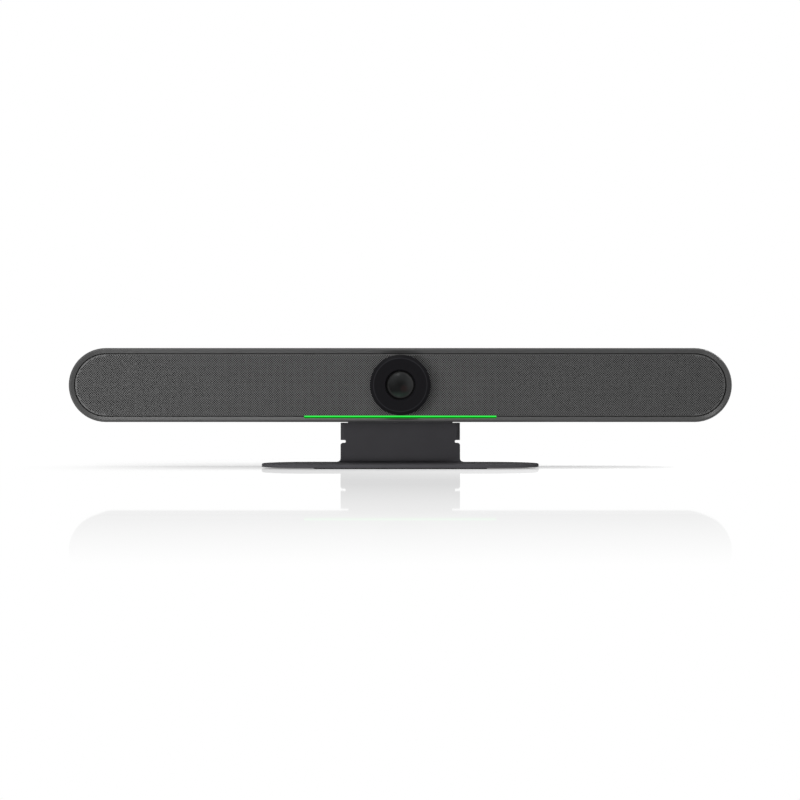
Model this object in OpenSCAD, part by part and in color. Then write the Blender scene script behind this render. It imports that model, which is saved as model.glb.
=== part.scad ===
// Conference camera: a long bar with round ends on a bent sheet-metal table stand.
// Lengths are in millimetres. The front faces -Y, +X is on the viewer's right and +Z is up.
// The origin lies on the table, under the middle of the whole object.

/* [Bar] */
// Length of the bar from end to end
bar_length = 600; // [590:5:680]
// Height of the bar, and the diameter of its round ends
bar_height = 67; // [65:0.5:74]
// Depth of the bar from its front edge to its back
bar_depth = 72; // [70:1:84]
// Wall of the two moulded shells
shell_wall = 2.5; // [2:0.1:3]
// Radius round the back edge of the rear housing
rear_round = 14; // [8:1:16]

/* [Front bezel] */
// Radius of the outer front edge
rim_fillet = 1.8; // [1:0.1:2.4]
// Width of the sloping rim face
rim_width = 2.7; // [2:0.1:3.2]
// How far the rim face slopes back towards the grille
rim_drop = 1.5; // [0.8:0.1:2.5]
// Width of the shadow groove between the rim and the grille
groove_width = 0.9; // [0.6:0.1:1.2]
// Depth of the grille's skirt, back to the shelf
skirt_depth = 5; // [4.6:0.1:6]
// Thickness of the shelf that carries the grille and the baffle
shelf_thick = 4; // [3.5:0.1:4.5]

/* [Grille] */
// Thickness of the grille sheet
grille_sheet = 0.8; // [0.5:0.1:1.2]
// How far the grille lies behind the bar's front edge
grille_setback = 1.2; // [0.8:0.1:1.6]
// Outer edge radius of the grille
grille_edge = 1.1; // [0.9:0.1:1.6]
// Thickness of the acoustic mesh behind the grille
mesh_thick = 0.6; // [0.3:0.1:0.8]

/* [Camera] */
// Distance from the lens ring's edge to the grille's edge
ring_margin = 0.5; // [0.4:0.1:3]
// How far the lens ring stands out of the grille
ring_proud = 8.2; // [6:0.2:10]
// Width of the bevel round the lens ring
ring_bevel = 3.2; // [2:0.1:4]
// Distance from the lens to the edge of the ring's opening
opening_margin = 1.9; // [1.7:0.1:3]
// Diameter of the front lens
lens_diameter = 24; // [20:0.2:26]
// Height of the front lens's dome
lens_dome = 3; // [2:0.1:4]
// Wall of the lens barrel round the front lens
barrel_wall = 0.8; // [0.6:0.1:1.4]
// Length of the lens barrel
barrel_length = 25.4; // [24:0.2:28]
// Side of the square camera board
sensor_board_side = 34; // [30:1:38]

/* [Status light] */
// Length of the light strip
light_length = 173.8; // [150:0.2:200]
// Height of the light strip
light_height = 2.2; // [1.6:0.1:2.3]
// Number of light sources on the light board
light_count = 12; // [8:1:16]

/* [Speakers and microphones] */
// Width of the bay between the two speaker boxes
bay_width = 250; // [246:1:270]
// Clearance between a speaker's flange and the shelf
speaker_gap = 1.5; // [1:0.1:4]
// Width of a speaker's flange beside its cone
speaker_rim = 2.5; // [2:0.1:4]
// Distance from a cone's edge to its magnet's edge
magnet_inset = 6; // [4:0.5:9]
// Height of a speaker's magnet ring
magnet_height = 8; // [6:0.5:12]
// Wall of a speaker box
box_wall = 2; // [1.5:0.1:3]
// Length of a microphone board
mic_board_length = 60; // [50:1:66]
// Distance between microphones
mic_pitch = 22; // [18:1:24]

/* [Electronics] */
// Distance from the bay's sides to the main board and the port recess
board_side_gap = 21; // [18:0.5:24]
// Clearance between the camera board and the main board
board_camera_gap = 7.4; // [6:0.2:9]
// Thickness of the boards
board_thick = 1.6; // [1:0.1:2]
// Width of the heat sink
sink_width = 40; // [30:1:46]
// Height of the heat sink
sink_height = 30; // [20:1:32]
// Number of heat-sink fins
sink_fins = 9; // [6:1:11]

/* [Port recess] */
// Room in the recess at each end of the port row
recess_margin = 8.6; // [6:0.2:10]
// Gap between neighbouring ports
port_gap = 4.4; // [3:0.2:5]
// Height of the recess for the ports
recess_height = 20; // [18:0.5:21]
// Depth of the recess for the ports
recess_depth = 6; // [5:0.5:7]
// Width of one vent slot
vent_width = 2.4; // [1.6:0.1:3]
// Height of one vent slot
vent_height = 11; // [8:0.5:12]
// Distance between vent slots
vent_pitch = 5.5; // [5:0.1:8]
// Diameter of the power button
button_diameter = 8; // [6:0.5:9]
// How far the power button stands out
button_proud = 0.8; // [0.4:0.1:1.2]
// Travel of the power button
button_travel = 1; // [0.4:0.1:1.2]

/* [Stand] */
// Thickness of the stand's sheet metal
stand_sheet = 3; // [2.6:0.1:3.4]
// Length of the base plate
base_length = 251.3; // [230:1:300]
// Depth of the base plate, front edge to the foot bend
base_depth = 91; // [86:1:110]
// Radius of the base plate's top edge
base_edge = 0.9; // [0.4:0.1:1.2]
// Inner radius of the foot bend
foot_bend = 8; // [5:0.5:11]
// Width of the upright
upright_width = 111.6; // [106:0.2:130]
// Height of the upright's top edge above the table
upright_height = 40.2; // [38:0.2:60]
// Radius of the fillet where the upright meets the base
root_fillet = 2.8; // [1:0.1:4]
// Height of the bend relief notch
relief_height = 2.6; // [2:0.1:3]
// Depth of the bend relief notch
relief_depth = 4.9; // [4.8:0.1:6]
// Length of the rubber pad
pad_length = 155; // [140:1:170]
// Distance from the base's front and back edges to the rubber pad
pad_inset = 5.5; // [4:0.5:12]
// Thickness of the rubber pad
pad_thick = 1; // [0.6:0.1:2]

/* [Tilt joint] */
// How far the bar's back lies behind the upright's front face
bar_tail = 9; // [6:0.5:12]
// Thickness of the cradle's sheet metal
cradle_sheet = 1.2; // [1:0.1:1.6]
// Thickness of each friction washer
washer_thick = 2.3; // [1.5:0.1:3]
// Diameter of the pivot screws
pivot_diameter = 4; // [3:0.5:5]
// Distance of the pivot behind the upright
pivot_setback = 7; // [6.5:0.1:8]
// Distance of the pivot below the upright's top edge
pivot_drop = 9.2; // [8.8:0.1:11]
// Radius of the ears round the pivot
ear_radius = 7; // [6.4:0.1:8]

/* [Hidden] */
$fn = 64;
dome_sides = 360;

// Clearances and one overrun for every cut
over = 1;
slip_gap = 0.1;
thread_gap = 0.05;
run_gap = 0.05;
rest_gap = 0.05;
part_gap = 0.3;

// Small sizes of the shells
rim_land = 0.3;
shelf_width = 3.2;
lip_length = 3;
lip_gap = 1.5;
lip_wall = 1.2;
post_radius = 4.5;
post_reach = 8;
post_floor = 4;
post_gap = 2.5;
recess_wall = 2;
recess_corner = 3;
recess_drop = 6;
vent_rise = 12.5;

// Small sizes of the stand and its tilt joint
pad_corner = 8;
ear_bend = 1;
relief_corner = 2.3;
cradle_bend = 0.8;
cradle_corner = 5;
cradle_relief = 1;
lug_gap = 0.6;
washer_radius = 5.6;
nut_height = 3.2;
pivot_head_rise = 2.2;
insert_back_gap = 20;
insert_spacing = 20;
insert_inset = 14;
insert_radius = 2.3;
insert_length = 5.5;
insert_boss = 4.5;
insert_roof = 2.5;
cradle_margin = 8;
cradle_head_depth = 1.65;
cradle_head_radius = 2.75;
cradle_bolt_radius = 1.5;
cradle_socket_radius = 0.9;

// Small sizes of the baffle and its fasteners
baffle_thick = 2.5;
baffle_gap = 0.3;
boss_radius = 3.5;
housing_bolt_radius = 1.5;
housing_bolt_bite = 10;
housing_head_radius = 2.7;
housing_head_height = 2.2;
tap_radius = 1;
tap_head_radius = 1.8;
tap_head_height = 1.4;
tap_bite = 2.3;
rib_thick = 1.6;
rib_height = 4;
rib_offset = 9;
rib_start = 30;
end_post_inset = 22;
post_inset = 12;
screw_gap = 7;
centre_screw_x = 40;
tap_ring_inset = 2.7;
camera_tap_inset = 3.7;
camera_tap_wall = 2.1;
camera_tap_bite = 5;

// Small sizes of the camera
neck_step = 4.6;
bevel_depth = 1.7;
opening_taper = 0.8;
opening_depth = 3.6;
lens_edge = 2;
lens_seat = 1.5;
lens_centre = 2.6;
inner_lens_radius = 8;
inner_lens_edge = 1.6;
inner_lens_bulge = 1.2;
inner_lens_setback = 12.4;
inner_lens_seat = 0.8;
stop_length = 1.2;
spacer_length = 3;
spacer_wall = 1.4;
retainer_length = 1.6;
holder_flange_edge = 4;
holder_flange_thick = 3;
holder_wall = 3.2;
holder_septum = 1.5;
holder_cavity = 3.4;
window_width = 12;
window_height = 10;
filter_thick = 0.6;
filter_margin = 1.2;
sensor_width = 14;
sensor_height = 11;
sensor_thick = 1.2;
holder_cavity_width = 19;
corner_tap_inset = 3;

// Small sizes of the status light
light_rise = 0.6;
light_gap = 0.1;
chip_width = 1.6;
chip_height = 1.2;
chip_thick = 0.7;
light_board_margin = 2;
light_board_thick = 1;
light_board_lift = 2;

// Small sizes of the speakers, their boxes and the microphones
box_end_gap = 45;
flange_thick = 2.4;
flange_corner = 5;
flange_tap_inset = 3.5;
frame_wall = 1.2;
frame_depth = 11;
frame_step = 0.5;
frame_window_width = 10;
frame_window_rim = 2.1;
surround_lip = 1.2;
surround_wall = 0.5;
surround_roll = 2;
cone_wall = 0.5;
cone_depth = 7;
coil_radius = 6.6;
coil_gap = 0.25;
cap_rise = 2;
pole_plate = 2.5;
box_gap = 2;
box_back_gap = 6;
mic_board_height = 7;
mic_board_thick = 1;
mic_rise = 14;
mic_centre = 76;
mic_can_width = 3.5;
mic_can_height = 2.7;
mic_can_thick = 1;
boot_radius = 2.6;
boot_hole = 0.8;
mic_count = 3;

// Small sizes of the main board and the ports
port_rise = 2;
standoff_radius = 3;
standoff_inset = 6;
standoff_edge = 4.5;
board_tap_radius = 1.25;
board_head_radius = 2.4;
board_head_height = 1.3;
board_tap_length = 7;
chip_margin = 2;
chip_rise = 1.6;
pad_rise = 0.5;
sink_base = 3;
sink_fin = 1.2;
sink_edge = 6;
sink_side_gap = 35;
network_size = [16, 21, 13.5];
network_cavity = [11.8, 14, 8.2];
network_floor = 2.4;
video_size = [15, 11.5, 6];
video_cavity = [13.4, 8, 4.4];
video_tongue = [11, 6, 1.4];
usb_size = [13.2, 14, 6.2];
usb_cavity = [11.8, 10, 4.6];
usb_tongue = [9.6, 8, 1.7];
jack_size = [9, 14, 11];
jack_radius = 3.1;
jack_pin_radius = 1;
jack_cavity_depth = 10;
audio_size = [7, 14, 6];
audio_radius = 1.8;
audio_length = 12;
button_gap = 11;
button_rise = 5;
button_flange = 1.4;
button_flange_thick = 1.2;
button_wall_gap = 0.3;
button_stem_radius = 1.5;
button_stem_length = 2.5;
switch_size = [6, 2.8, 7];
plunger_radius = 1.2;
plunger_length = 0.8;

// Stand: depths are first counted from the base's front edge
upright_reach = base_depth + foot_bend;
ear_start = upright_reach + stand_sheet + ear_bend;
pivot_reach = upright_reach + stand_sheet + pivot_setback;
ear_end = pivot_reach + ear_radius;
bar_start = upright_reach + bar_tail - bar_depth;
depth_all = max(ear_end, bar_start + bar_depth + button_proud);
stand_front = -depth_all / 2;
plate_top = pad_thick + stand_sheet;
upright_y = stand_front + upright_reach;
pivot_y = stand_front + pivot_reach;
pivot_z = upright_height - pivot_drop;
relief_top = pivot_z - ear_radius;
ear_inner = upright_width / 2 - stand_sheet;

// Cradle
cradle_low = upright_height + rest_gap;
lug_outer = ear_inner - 2 * washer_thick - 3 * run_gap;
cradle_width = 2 * lug_outer;
lug_radius = pivot_setback - lug_gap;
pivot_radius = pivot_diameter / 2;
nut_radius = pivot_diameter;

// Bar: depths inside it are counted from its front edge, heights from its middle
bar_front = stand_front + bar_start;
bar_low = cradle_low + cradle_sheet;
bar_radius = bar_height / 2;
insert_front = bar_depth - insert_back_gap - insert_spacing;
bar_mid = bar_low + bar_radius;
bar_straight = bar_length - bar_height;
inner_radius = bar_radius - shell_wall;
groove_radius = bar_radius - rim_fillet - rim_land - rim_width;
grille_radius = groove_radius - groove_width;
shelf_radius = groove_radius - shelf_width;
shelf_back = skirt_depth + shelf_thick;
mesh_back = grille_setback + grille_sheet + mesh_thick;
baffle_back = shelf_back + baffle_thick;
bezel_depth = baffle_back + lip_gap + lip_length;
post_joint = bezel_depth + post_reach;
lip_outer = inner_radius - slip_gap;

// Camera
ring_radius = grille_radius - ring_margin;
neck_radius = ring_radius - neck_step;
ring_front = grille_setback - ring_proud;
lens_radius = lens_diameter / 2;
opening_radius = lens_radius + opening_margin;
barrel_radius = lens_radius + barrel_wall;
barrel_bore = barrel_radius + slip_gap;
camera_tap_circle = max(neck_radius - camera_tap_inset, barrel_bore + camera_tap_wall);
holder_flange_radius = camera_tap_circle + holder_flange_edge;
barrel_front = ring_front + opening_depth - part_gap;
lens_edge_front = barrel_front + part_gap;
barrel_back = barrel_front + barrel_length;
septum_front = barrel_back + slip_gap;
filter_front = septum_front + holder_septum;
sensor_plane = filter_front + holder_cavity;
inner_lens_front = barrel_front + inner_lens_setback;
spacer_front = inner_lens_front + inner_lens_edge;
rear_lens_front = spacer_front + spacer_length;
retainer_front = rear_lens_front + inner_lens_edge;
inner_lens_clear = inner_lens_radius - spacer_wall;

// Status light
light_top = -grille_radius - thread_gap;
light_low = light_top - light_height;
light_back = shelf_back - chip_thick - light_gap;
light_front = rim_drop - light_rise;

// Speakers
bay_half = bay_width / 2;
box_width = bar_length / 2 - box_end_gap - bay_half;
speaker_x = bay_half + box_width / 2;
speaker_width = 2 * (shelf_radius - speaker_gap);
cone_radius = speaker_width / 2 - speaker_rim;
magnet_radius = cone_radius - magnet_inset;
frame_waist = magnet_radius - frame_step;
flange_front = shelf_back - flange_thick;
frame_back = shelf_back + frame_depth;
box_height = 2 * (inner_radius - box_gap);
box_back = bar_depth - shell_wall - box_back_gap;
box_round = max(rear_round - shell_wall - box_gap, box_wall);
post_x = bay_half - post_radius - post_gap;
end_screw_x = speaker_x + box_width / 2 + screw_gap;
end_post_x = bar_length / 2 - end_post_inset;
post_rise = inner_radius - post_inset;
speaker_tap = speaker_width / 2 - flange_tap_inset;
speaker_screws_at = [for (x = [-1, 1]) for (y = [-1, 1]) speaker_tap * [x, y]];
coil_inner = coil_radius - cone_wall / 2;
coil_outer = coil_radius + cone_wall / 2;
roll_outer = cone_radius - surround_lip;
roll_inner = roll_outer - 2 * surround_roll;

// Port recess and main board
port_widths = [
    audio_size.x, video_size.x, video_size.x, usb_size.x, usb_size.x, network_size.x, jack_size.x
];
port_row = port_start(len(port_widths) - 1) + jack_size.x;
audio_place = port_place(0);
video_places = [port_place(1), port_place(2)];
usb_places = [port_place(3), port_place(4)];
network_place = port_place(5);
power_place = port_place(6);
recess_width = port_row + 2 * recess_margin;
recess_shift = bay_half - board_side_gap - recess_width / 2;
recess_floor = bar_depth - recess_depth;
recess_back = recess_floor - recess_wall;
recess_mid = -recess_drop;
recess_low = recess_mid - recess_height / 2;
board_top = recess_low + port_rise;
board_back = recess_back - part_gap;
board_front = sensor_plane + board_thick + board_camera_gap;
board_depth = board_back - board_front;
board_length = bay_width - 2 * board_side_gap;
button_x = recess_shift - recess_width / 2 - button_gap;
sink_depth = board_depth - sink_edge;
sink_x = -bay_half + sink_side_gap + sink_width / 2;
chip_side = sink_depth - 2 * chip_margin;
button_z = board_top + button_rise;
chip_mid_depth = board_front + sink_depth / 2;
button_seat = bar_depth - shell_wall - button_wall_gap;
button_low = button_seat - button_flange_thick;
stem_end = button_low - button_stem_length;
plunger_tip = stem_end - button_travel - slip_gap;
vent_half = post_x - post_radius - vent_width;
vent_count = floor(2 * vent_half / vent_pitch);

// Fasteners of the bar
cone_rest = cradle_head_depth - cradle_sheet;
insert_low = bar_low + max(cone_rest, slip_gap);
screw_edge = inner_radius - tap_ring_inset;
housing_screws_at = [
    for (side = [-1, 1]) for (rise = [-post_rise, post_rise]) [side * post_x, rise],
    for (side = [-1, 1]) [side * end_post_x, 0]
];
baffle_screws_at = [
    for (side = [-1, 1]) for (rise = [-screw_edge, screw_edge]) for (x = [post_x, end_screw_x])
        [side * x, rise],
    for (side = [-1, 1]) [side * centre_screw_x, screw_edge]
];
camera_screws_at = [for (turn = [0:90:270]) camera_tap_circle * [cos(turn), sin(turn)]];
board_corner = sensor_board_side / 2 - corner_tap_inset;
inserts_at = [
    for (side = [-1, 1]) for (step = [0, 1])
        [side * (lug_outer - insert_inset), insert_front + step * insert_spacing]
];

board_screws_at = [
    for (side = [-1, 1]) for (depth = [board_front + standoff_edge, board_back - standoff_edge])
        [side * (board_length / 2 - standoff_inset), depth]
];

// Distance from the port row's start to a port, and a port's place from the row's middle
function port_start(index) =
    index == 0 ? 0 : port_start(index - 1) + port_widths[index - 1] + port_gap;
function port_place(index) = port_start(index) + (port_widths[index] - port_row) / 2;

// Plane shapes
// Stadium outline with full round ends
module stadium(straight, radius) {
    square([straight, 2 * radius], center = true);
    for (side = [-1, 1]) translate([side * straight / 2, 0]) circle(radius);
}

// Rectangle with rounded corners, centred
module rounded_rectangle(width, height, corner) {
    square([width - 2 * corner, height], center = true);
    square([width, height - 2 * corner], center = true);
    for (x = [-1, 1]) for (y = [-1, 1])
        translate([x * (width / 2 - corner), y * (height / 2 - corner)]) circle(corner);
}

// Half section from the axis to a radius, with its outer edge rounded at the low end
module rounded_start(radius, low, high, corner) {
    translate([0, low + corner]) square([radius, high - low - corner]);
    translate([0, low]) square([radius - corner, high - low]);
    translate([radius - corner, low + corner]) circle(corner);
}

// Half section from the axis to a radius, with its outer edge rounded at the high end
module rounded_finish(radius, low, high, corner) {
    translate([0, low]) square([radius, high - low - corner]);
    translate([0, low]) square([radius - corner, high - low]);
    translate([radius - corner, high - corner]) circle(corner);
}

// Quarter of a sheet bend: the right-hand side, below its centre
module bend_section(inner, sheet) {
    intersection() {
        difference() {
            circle(inner + sheet);
            circle(inner);
        }
        translate([0, -inner - sheet]) square([inner + sheet, inner + sheet]);
    }
}

// Places and sweeps
// Sweeps a half section of radius and height round a stadium
module stadium_sweep(straight) {
    for (side = [-1, 1])
        translate([side * straight / 2, 0, 0]) rotate([0, 0, -90 * side])
            rotate_extrude(angle = 180) children();
    rotate([90, 0, 90]) linear_extrude(straight, center = true) {
        children();
        mirror([1, 0]) children();
    }
}

// Sets a plane shape upright in the bar, at a depth behind its front edge
module in_bar(depth = 0) {
    translate([0, bar_front + depth, bar_mid]) rotate([90, 0, 0]) children();
}

// Sweeps a half section of radius and depth round the bar
module bar_sweep() {
    in_bar() stadium_sweep(bar_straight) mirror([0, 1]) children();
}

// Plate across the bar between two depths
module bar_plate(front, back) {
    in_bar(back) linear_extrude(back - front) children();
}

// Turned piece with its axis along the bar's depth
module bar_turned(x = 0, rise = 0) {
    translate([x, 0, rise]) in_bar() rotate_extrude() mirror([0, 1]) children();
}

// Rod along the bar's depth
module bar_rod(place, radius, front, back) {
    translate([place.x, 0, place.y]) in_bar(back) cylinder(h = back - front, r = radius);
}

// Block in the bar, centred on x
module bar_block(x, width, front, back, low, high) {
    translate([x - width / 2, bar_front + front, bar_mid + low]) cube([width, back - front, high - low]);
}

// Screw with a cylindrical head: the head lies behind the seat and the shank in front of it
module bar_screw(place, seat, head_radius, head_height, radius, length) {
    bar_rod(place, head_radius, seat, seat + head_height);
    bar_rod(place, radius, seat - length, seat + slip_gap);
}

// Sheet profile in depth and height, as wide as given
module side_plate(x, width) {
    translate([x - width / 2, 0, 0]) rotate([90, 0, 90]) linear_extrude(width) children();
}

// Point where a line from an outside point touches a circle
function touch_point(from, centre, radius) =
    let (reach = norm(from - centre), aim = atan2(from.y - centre.y, from.x - centre.x))
    let (turn = aim - acos(radius / reach))
    centre + radius * [cos(turn), sin(turn)];

// Stand
module base_section() {
    rounded_finish(base_depth / 2, pad_thick, plate_top, base_edge);
}

module foot_bend_part() {
    half = upright_width / 2;
    intersection() {
        translate([0, stand_front + base_depth, plate_top + foot_bend])
            side_plate(0, upright_width + 2 * root_fillet) bend_section(foot_bend, stand_sheet);
        translate([0, stand_front + depth_all, 0]) rotate([90, 0, 0]) linear_extrude(depth_all) difference() {
            union() {
                translate([-half, 0]) square([upright_width, upright_height]);
                translate([-half - root_fillet, pad_thick])
                    square([upright_width + 2 * root_fillet, stand_sheet + root_fillet]);
            }
            for (side = [-1, 1])
                translate([side * (half + root_fillet), plate_top + root_fillet]) circle(root_fillet);
        }
    }
}

// Front outline of the upright: the lower part is wide, the upper part ends at the ears' bends
module upright_outline() {
    half = upright_width / 2;
    relief_low = relief_top - relief_height;
    start = plate_top + foot_bend;
    difference() {
        union() {
            translate([-half + relief_corner, start])
                square([upright_width - 2 * relief_corner, relief_low - start]);
            translate([-half, start]) square([upright_width, relief_low - relief_corner - start]);
            for (side = [-1, 1])
                translate([side * (half - relief_corner), relief_low - relief_corner]) circle(relief_corner);
            translate([-half + stand_sheet + ear_bend, start])
                square([upright_width - 2 * (stand_sheet + ear_bend), upright_height - start]);
        }
        for (side = [-1, 1]) {
            notch = half - relief_depth + relief_height / 2;
            translate([side * notch, relief_top - relief_height / 2]) circle(relief_height / 2);
            translate([side * notch - (side < 0 ? relief_depth : 0), relief_low])
                square([relief_depth, relief_height]);
        }
    }
}

// Side outline of an ear
module ear_outline() {
    start = stand_front + ear_start;
    touch = touch_point([start, upright_height], [pivot_y, pivot_z], ear_radius);
    translate([pivot_y, pivot_z]) circle(ear_radius);
    polygon([
        [start, relief_top], [pivot_y, relief_top], [pivot_y, pivot_z], touch, [start, upright_height]
    ]);
}

module stand_plate() {
    half = upright_width / 2;
    color("#38383a") difference() {
        union() {
            translate([0, stand_front + base_depth / 2, 0])
                stadium_sweep(base_length - base_depth) base_section();
            translate([-half - root_fillet, stand_front + base_depth / 2, pad_thick])
                cube([upright_width + 2 * root_fillet, base_depth / 2, stand_sheet]);
            foot_bend_part();
            translate([0, upright_y + stand_sheet, 0]) rotate([90, 0, 0])
                linear_extrude(stand_sheet) upright_outline();
            for (side = [0, 1]) mirror([side, 0, 0]) {
                translate([half - stand_sheet - ear_bend, stand_front + ear_start, relief_top])
                    linear_extrude(upright_height - relief_top) bend_section(ear_bend, stand_sheet);
                side_plate(half - stand_sheet / 2, stand_sheet) ear_outline();
            }
        }
        for (side = [0, 1]) mirror([side, 0, 0]) translate([half, pivot_y, pivot_z]) rotate([0, -90, 0]) {
            translate([0, 0, -over]) cylinder(h = stand_sheet + 2 * over, r = pivot_radius + thread_gap);
            cylinder(
                h = pivot_head_rise, r1 = pivot_radius + pivot_head_rise + thread_gap,
                r2 = pivot_radius + thread_gap
            );
            translate([0, 0, -over])
                cylinder(h = over, r = pivot_radius + pivot_head_rise + thread_gap);
        }
    }
}

module base_pad() {
    color("#1c1c1d") translate([0, stand_front + base_depth / 2, 0])
        linear_extrude(pad_thick) rounded_rectangle(pad_length, base_depth - 2 * pad_inset, pad_corner);
}

module pivot_screws() {
    shank = upright_width / 2 - lug_outer + cradle_sheet + run_gap + nut_height + slip_gap;
    color("#2a2a2c") for (side = [0, 1]) mirror([side, 0, 0])
        translate([upright_width / 2, pivot_y, pivot_z]) rotate([0, -90, 0]) difference() {
            union() {
                cylinder(h = pivot_head_rise, r1 = pivot_radius + pivot_head_rise, r2 = pivot_radius);
                cylinder(h = shank, r = pivot_radius);
            }
            translate([0, 0, -over]) cylinder(h = over + pivot_head_rise / 2, r = pivot_radius / 2, $fn = 6);
        }
}

module pivot_nuts() {
    color("#2a2a2c") for (side = [0, 1]) mirror([side, 0, 0])
        translate([lug_outer - cradle_sheet - run_gap, pivot_y, pivot_z]) rotate([0, -90, 0]) difference() {
            cylinder(h = nut_height, r = nut_radius, $fn = 6);
            translate([0, 0, -over]) cylinder(h = nut_height + 2 * over, r = pivot_radius + thread_gap);
        }
}

module friction_washers() {
    color("#8a8a8c") for (side = [0, 1]) mirror([side, 0, 0]) for (step = [0, 1])
        translate([ear_inner - step * (washer_thick + run_gap), pivot_y, pivot_z]) rotate([0, -90, 0])
            difference() {
                cylinder(h = washer_thick, r = washer_radius);
                translate([0, 0, -over])
                    cylinder(h = washer_thick + 2 * over, r = pivot_radius + thread_gap);
            }
}

// Tilt cradle under the bar
module cradle_outline() {
    start = bar_front + insert_front - cradle_margin;
    lug_front = pivot_y - lug_radius;
    split = lug_front - cradle_relief;
    inset = cradle_sheet + cradle_bend;
    translate([-lug_outer, start + cradle_corner]) square([cradle_width, split - start - cradle_corner]);
    translate([-lug_outer + cradle_corner, start]) square([cradle_width - 2 * cradle_corner, split - start]);
    for (side = [-1, 1])
        translate([side * (lug_outer - cradle_corner), start + cradle_corner]) circle(cradle_corner);
    translate([-lug_outer + inset, split]) square([cradle_width - 2 * inset, cradle_relief + 2 * lug_radius]);
}

module tilt_cradle() {
    inset = cradle_sheet + cradle_bend;
    lug_front = pivot_y - lug_radius;
    color("#323234") difference() {
        union() {
            translate([0, 0, cradle_low]) linear_extrude(cradle_sheet) cradle_outline();
            for (side = [0, 1]) mirror([side, 0, 0]) {
                translate([lug_outer - inset, pivot_y + lug_radius, cradle_low - cradle_bend])
                    rotate([90, 0, 0]) linear_extrude(2 * lug_radius) mirror([0, 1])
                        bend_section(cradle_bend, cradle_sheet);
                side_plate(lug_outer - cradle_sheet / 2, cradle_sheet) {
                    translate([pivot_y, pivot_z]) circle(lug_radius);
                    translate([lug_front, pivot_z])
                        square([2 * lug_radius, cradle_low - cradle_bend - pivot_z]);
                }
            }
        }
        for (side = [0, 1]) mirror([side, 0, 0])
            translate([lug_outer + over, pivot_y, pivot_z]) rotate([0, -90, 0])
                cylinder(h = cradle_sheet + 2 * over, r = pivot_radius + run_gap);
        for (place = inserts_at) translate([place.x, bar_front + place.y, cradle_low]) {
            translate([0, 0, -over])
                cylinder(h = cradle_sheet + 2 * over, r = cradle_bolt_radius + slip_gap);
            cylinder(
                h = cradle_head_depth, r1 = cradle_head_radius + thread_gap,
                r2 = cradle_bolt_radius + thread_gap
            );
        }
    }
}

module cradle_screws() {
    color("#2a2a2c") for (place = inserts_at)
        translate([place.x, bar_front + place.y, cradle_low]) difference() {
            union() {
                cylinder(h = cradle_head_depth, r1 = cradle_head_radius, r2 = cradle_bolt_radius);
                cylinder(h = cradle_sheet + insert_length, r = cradle_bolt_radius);
            }
            translate([0, 0, -over])
                cylinder(h = over + cradle_sheet, r = cradle_socket_radius, $fn = 6);
        }
}

module cradle_inserts() {
    color("#b08d57") for (place = inserts_at) translate([place.x, bar_front + place.y, insert_low])
        difference() {
            cylinder(h = insert_length, r = insert_radius);
            translate([0, 0, -over])
                cylinder(h = insert_length + 2 * over, r = cradle_bolt_radius + thread_gap);
        }
}

// Shells of the bar
module recess_outline(margin = 0) {
    translate([recess_shift, recess_mid]) rounded_rectangle(
        recess_width + 2 * margin, recess_height + 2 * margin, recess_corner + margin
    );
}

module port_windows() {
    translate([recess_shift, board_top]) {
        port_window(network_place, network_size);
        port_window(power_place, jack_size);
        port_window(audio_place, audio_size);
        for (x = usb_places) port_window(x, usb_size);
        for (x = video_places) port_window(x, video_size);
    }
}

module port_window(x, size) {
    translate([x - size.x / 2 - part_gap, -part_gap])
        square([size.x + 2 * part_gap, size.z + 2 * part_gap]);
}

module vent_slots() {
    for (step = [0:vent_count - 1]) translate([(step - (vent_count - 1) / 2) * vent_pitch, vent_rise])
        rounded_rectangle(vent_width, vent_height, vent_width / 2 - slip_gap);
}

// What stands inside the rear housing
module housing_ribs() {
    for (place = housing_screws_at) bar_rod(place, post_radius, post_joint, bar_depth);
    bar_plate(recess_back, bar_depth) recess_outline(recess_wall);
    for (place = inserts_at) translate([place.x, bar_front + place.y, bar_low])
        cylinder(h = cone_rest + insert_length + insert_roof, r = insert_boss);
    for (place = board_screws_at) translate([place.x, bar_front + place.y, bar_low])
        cylinder(h = board_top - board_thick + bar_radius, r = standoff_radius);
}

module housing_holes() {
    for (place = housing_screws_at) {
        bar_rod(place, housing_head_radius + part_gap, post_joint + post_floor, bar_depth + over);
        bar_rod(place, housing_bolt_radius + slip_gap, post_joint - over, bar_depth);
    }
    bar_plate(recess_floor, bar_depth + over) recess_outline();
    bar_plate(recess_back - over, recess_floor + over) port_windows();
    bar_plate(bar_depth - rear_round, bar_depth + over) vent_slots();
    bar_rod([button_x, button_z], button_diameter / 2 + button_wall_gap, recess_back, bar_depth + over);
    for (place = inserts_at) translate([place.x, bar_front + place.y, bar_low - over])
        cylinder(h = over + insert_low - bar_low + insert_length, r = insert_radius + thread_gap);
    for (place = board_screws_at)
        translate([place.x, bar_front + place.y, bar_mid + board_top - board_tap_length])
            cylinder(h = board_tap_length, r = board_tap_radius + thread_gap);
}

module rear_housing() {
    color("#3a3a3c") difference() {
        union() {
            difference() {
                bar_sweep() rounded_finish(bar_radius, bezel_depth, bar_depth, rear_round);
                difference() {
                    bar_sweep() rounded_finish(
                        inner_radius, bezel_depth - over, bar_depth - shell_wall, rear_round - shell_wall
                    );
                    housing_ribs();
                }
            }
            bar_sweep() {
                translate([lip_outer - lip_wall, bezel_depth - lip_length])
                    square([lip_wall, 2 * lip_length]);
                translate([lip_outer - lip_wall, bezel_depth])
                    square([bar_radius - lip_outer, lip_length]);
            }
        }
        housing_holes();
    }
}

module housing_screws() {
    color("#2a2a2c") for (place = housing_screws_at)
        bar_screw(
            place, post_joint + post_floor, housing_head_radius, housing_head_height,
            housing_bolt_radius, post_floor + housing_bolt_bite
        );
}

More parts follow.
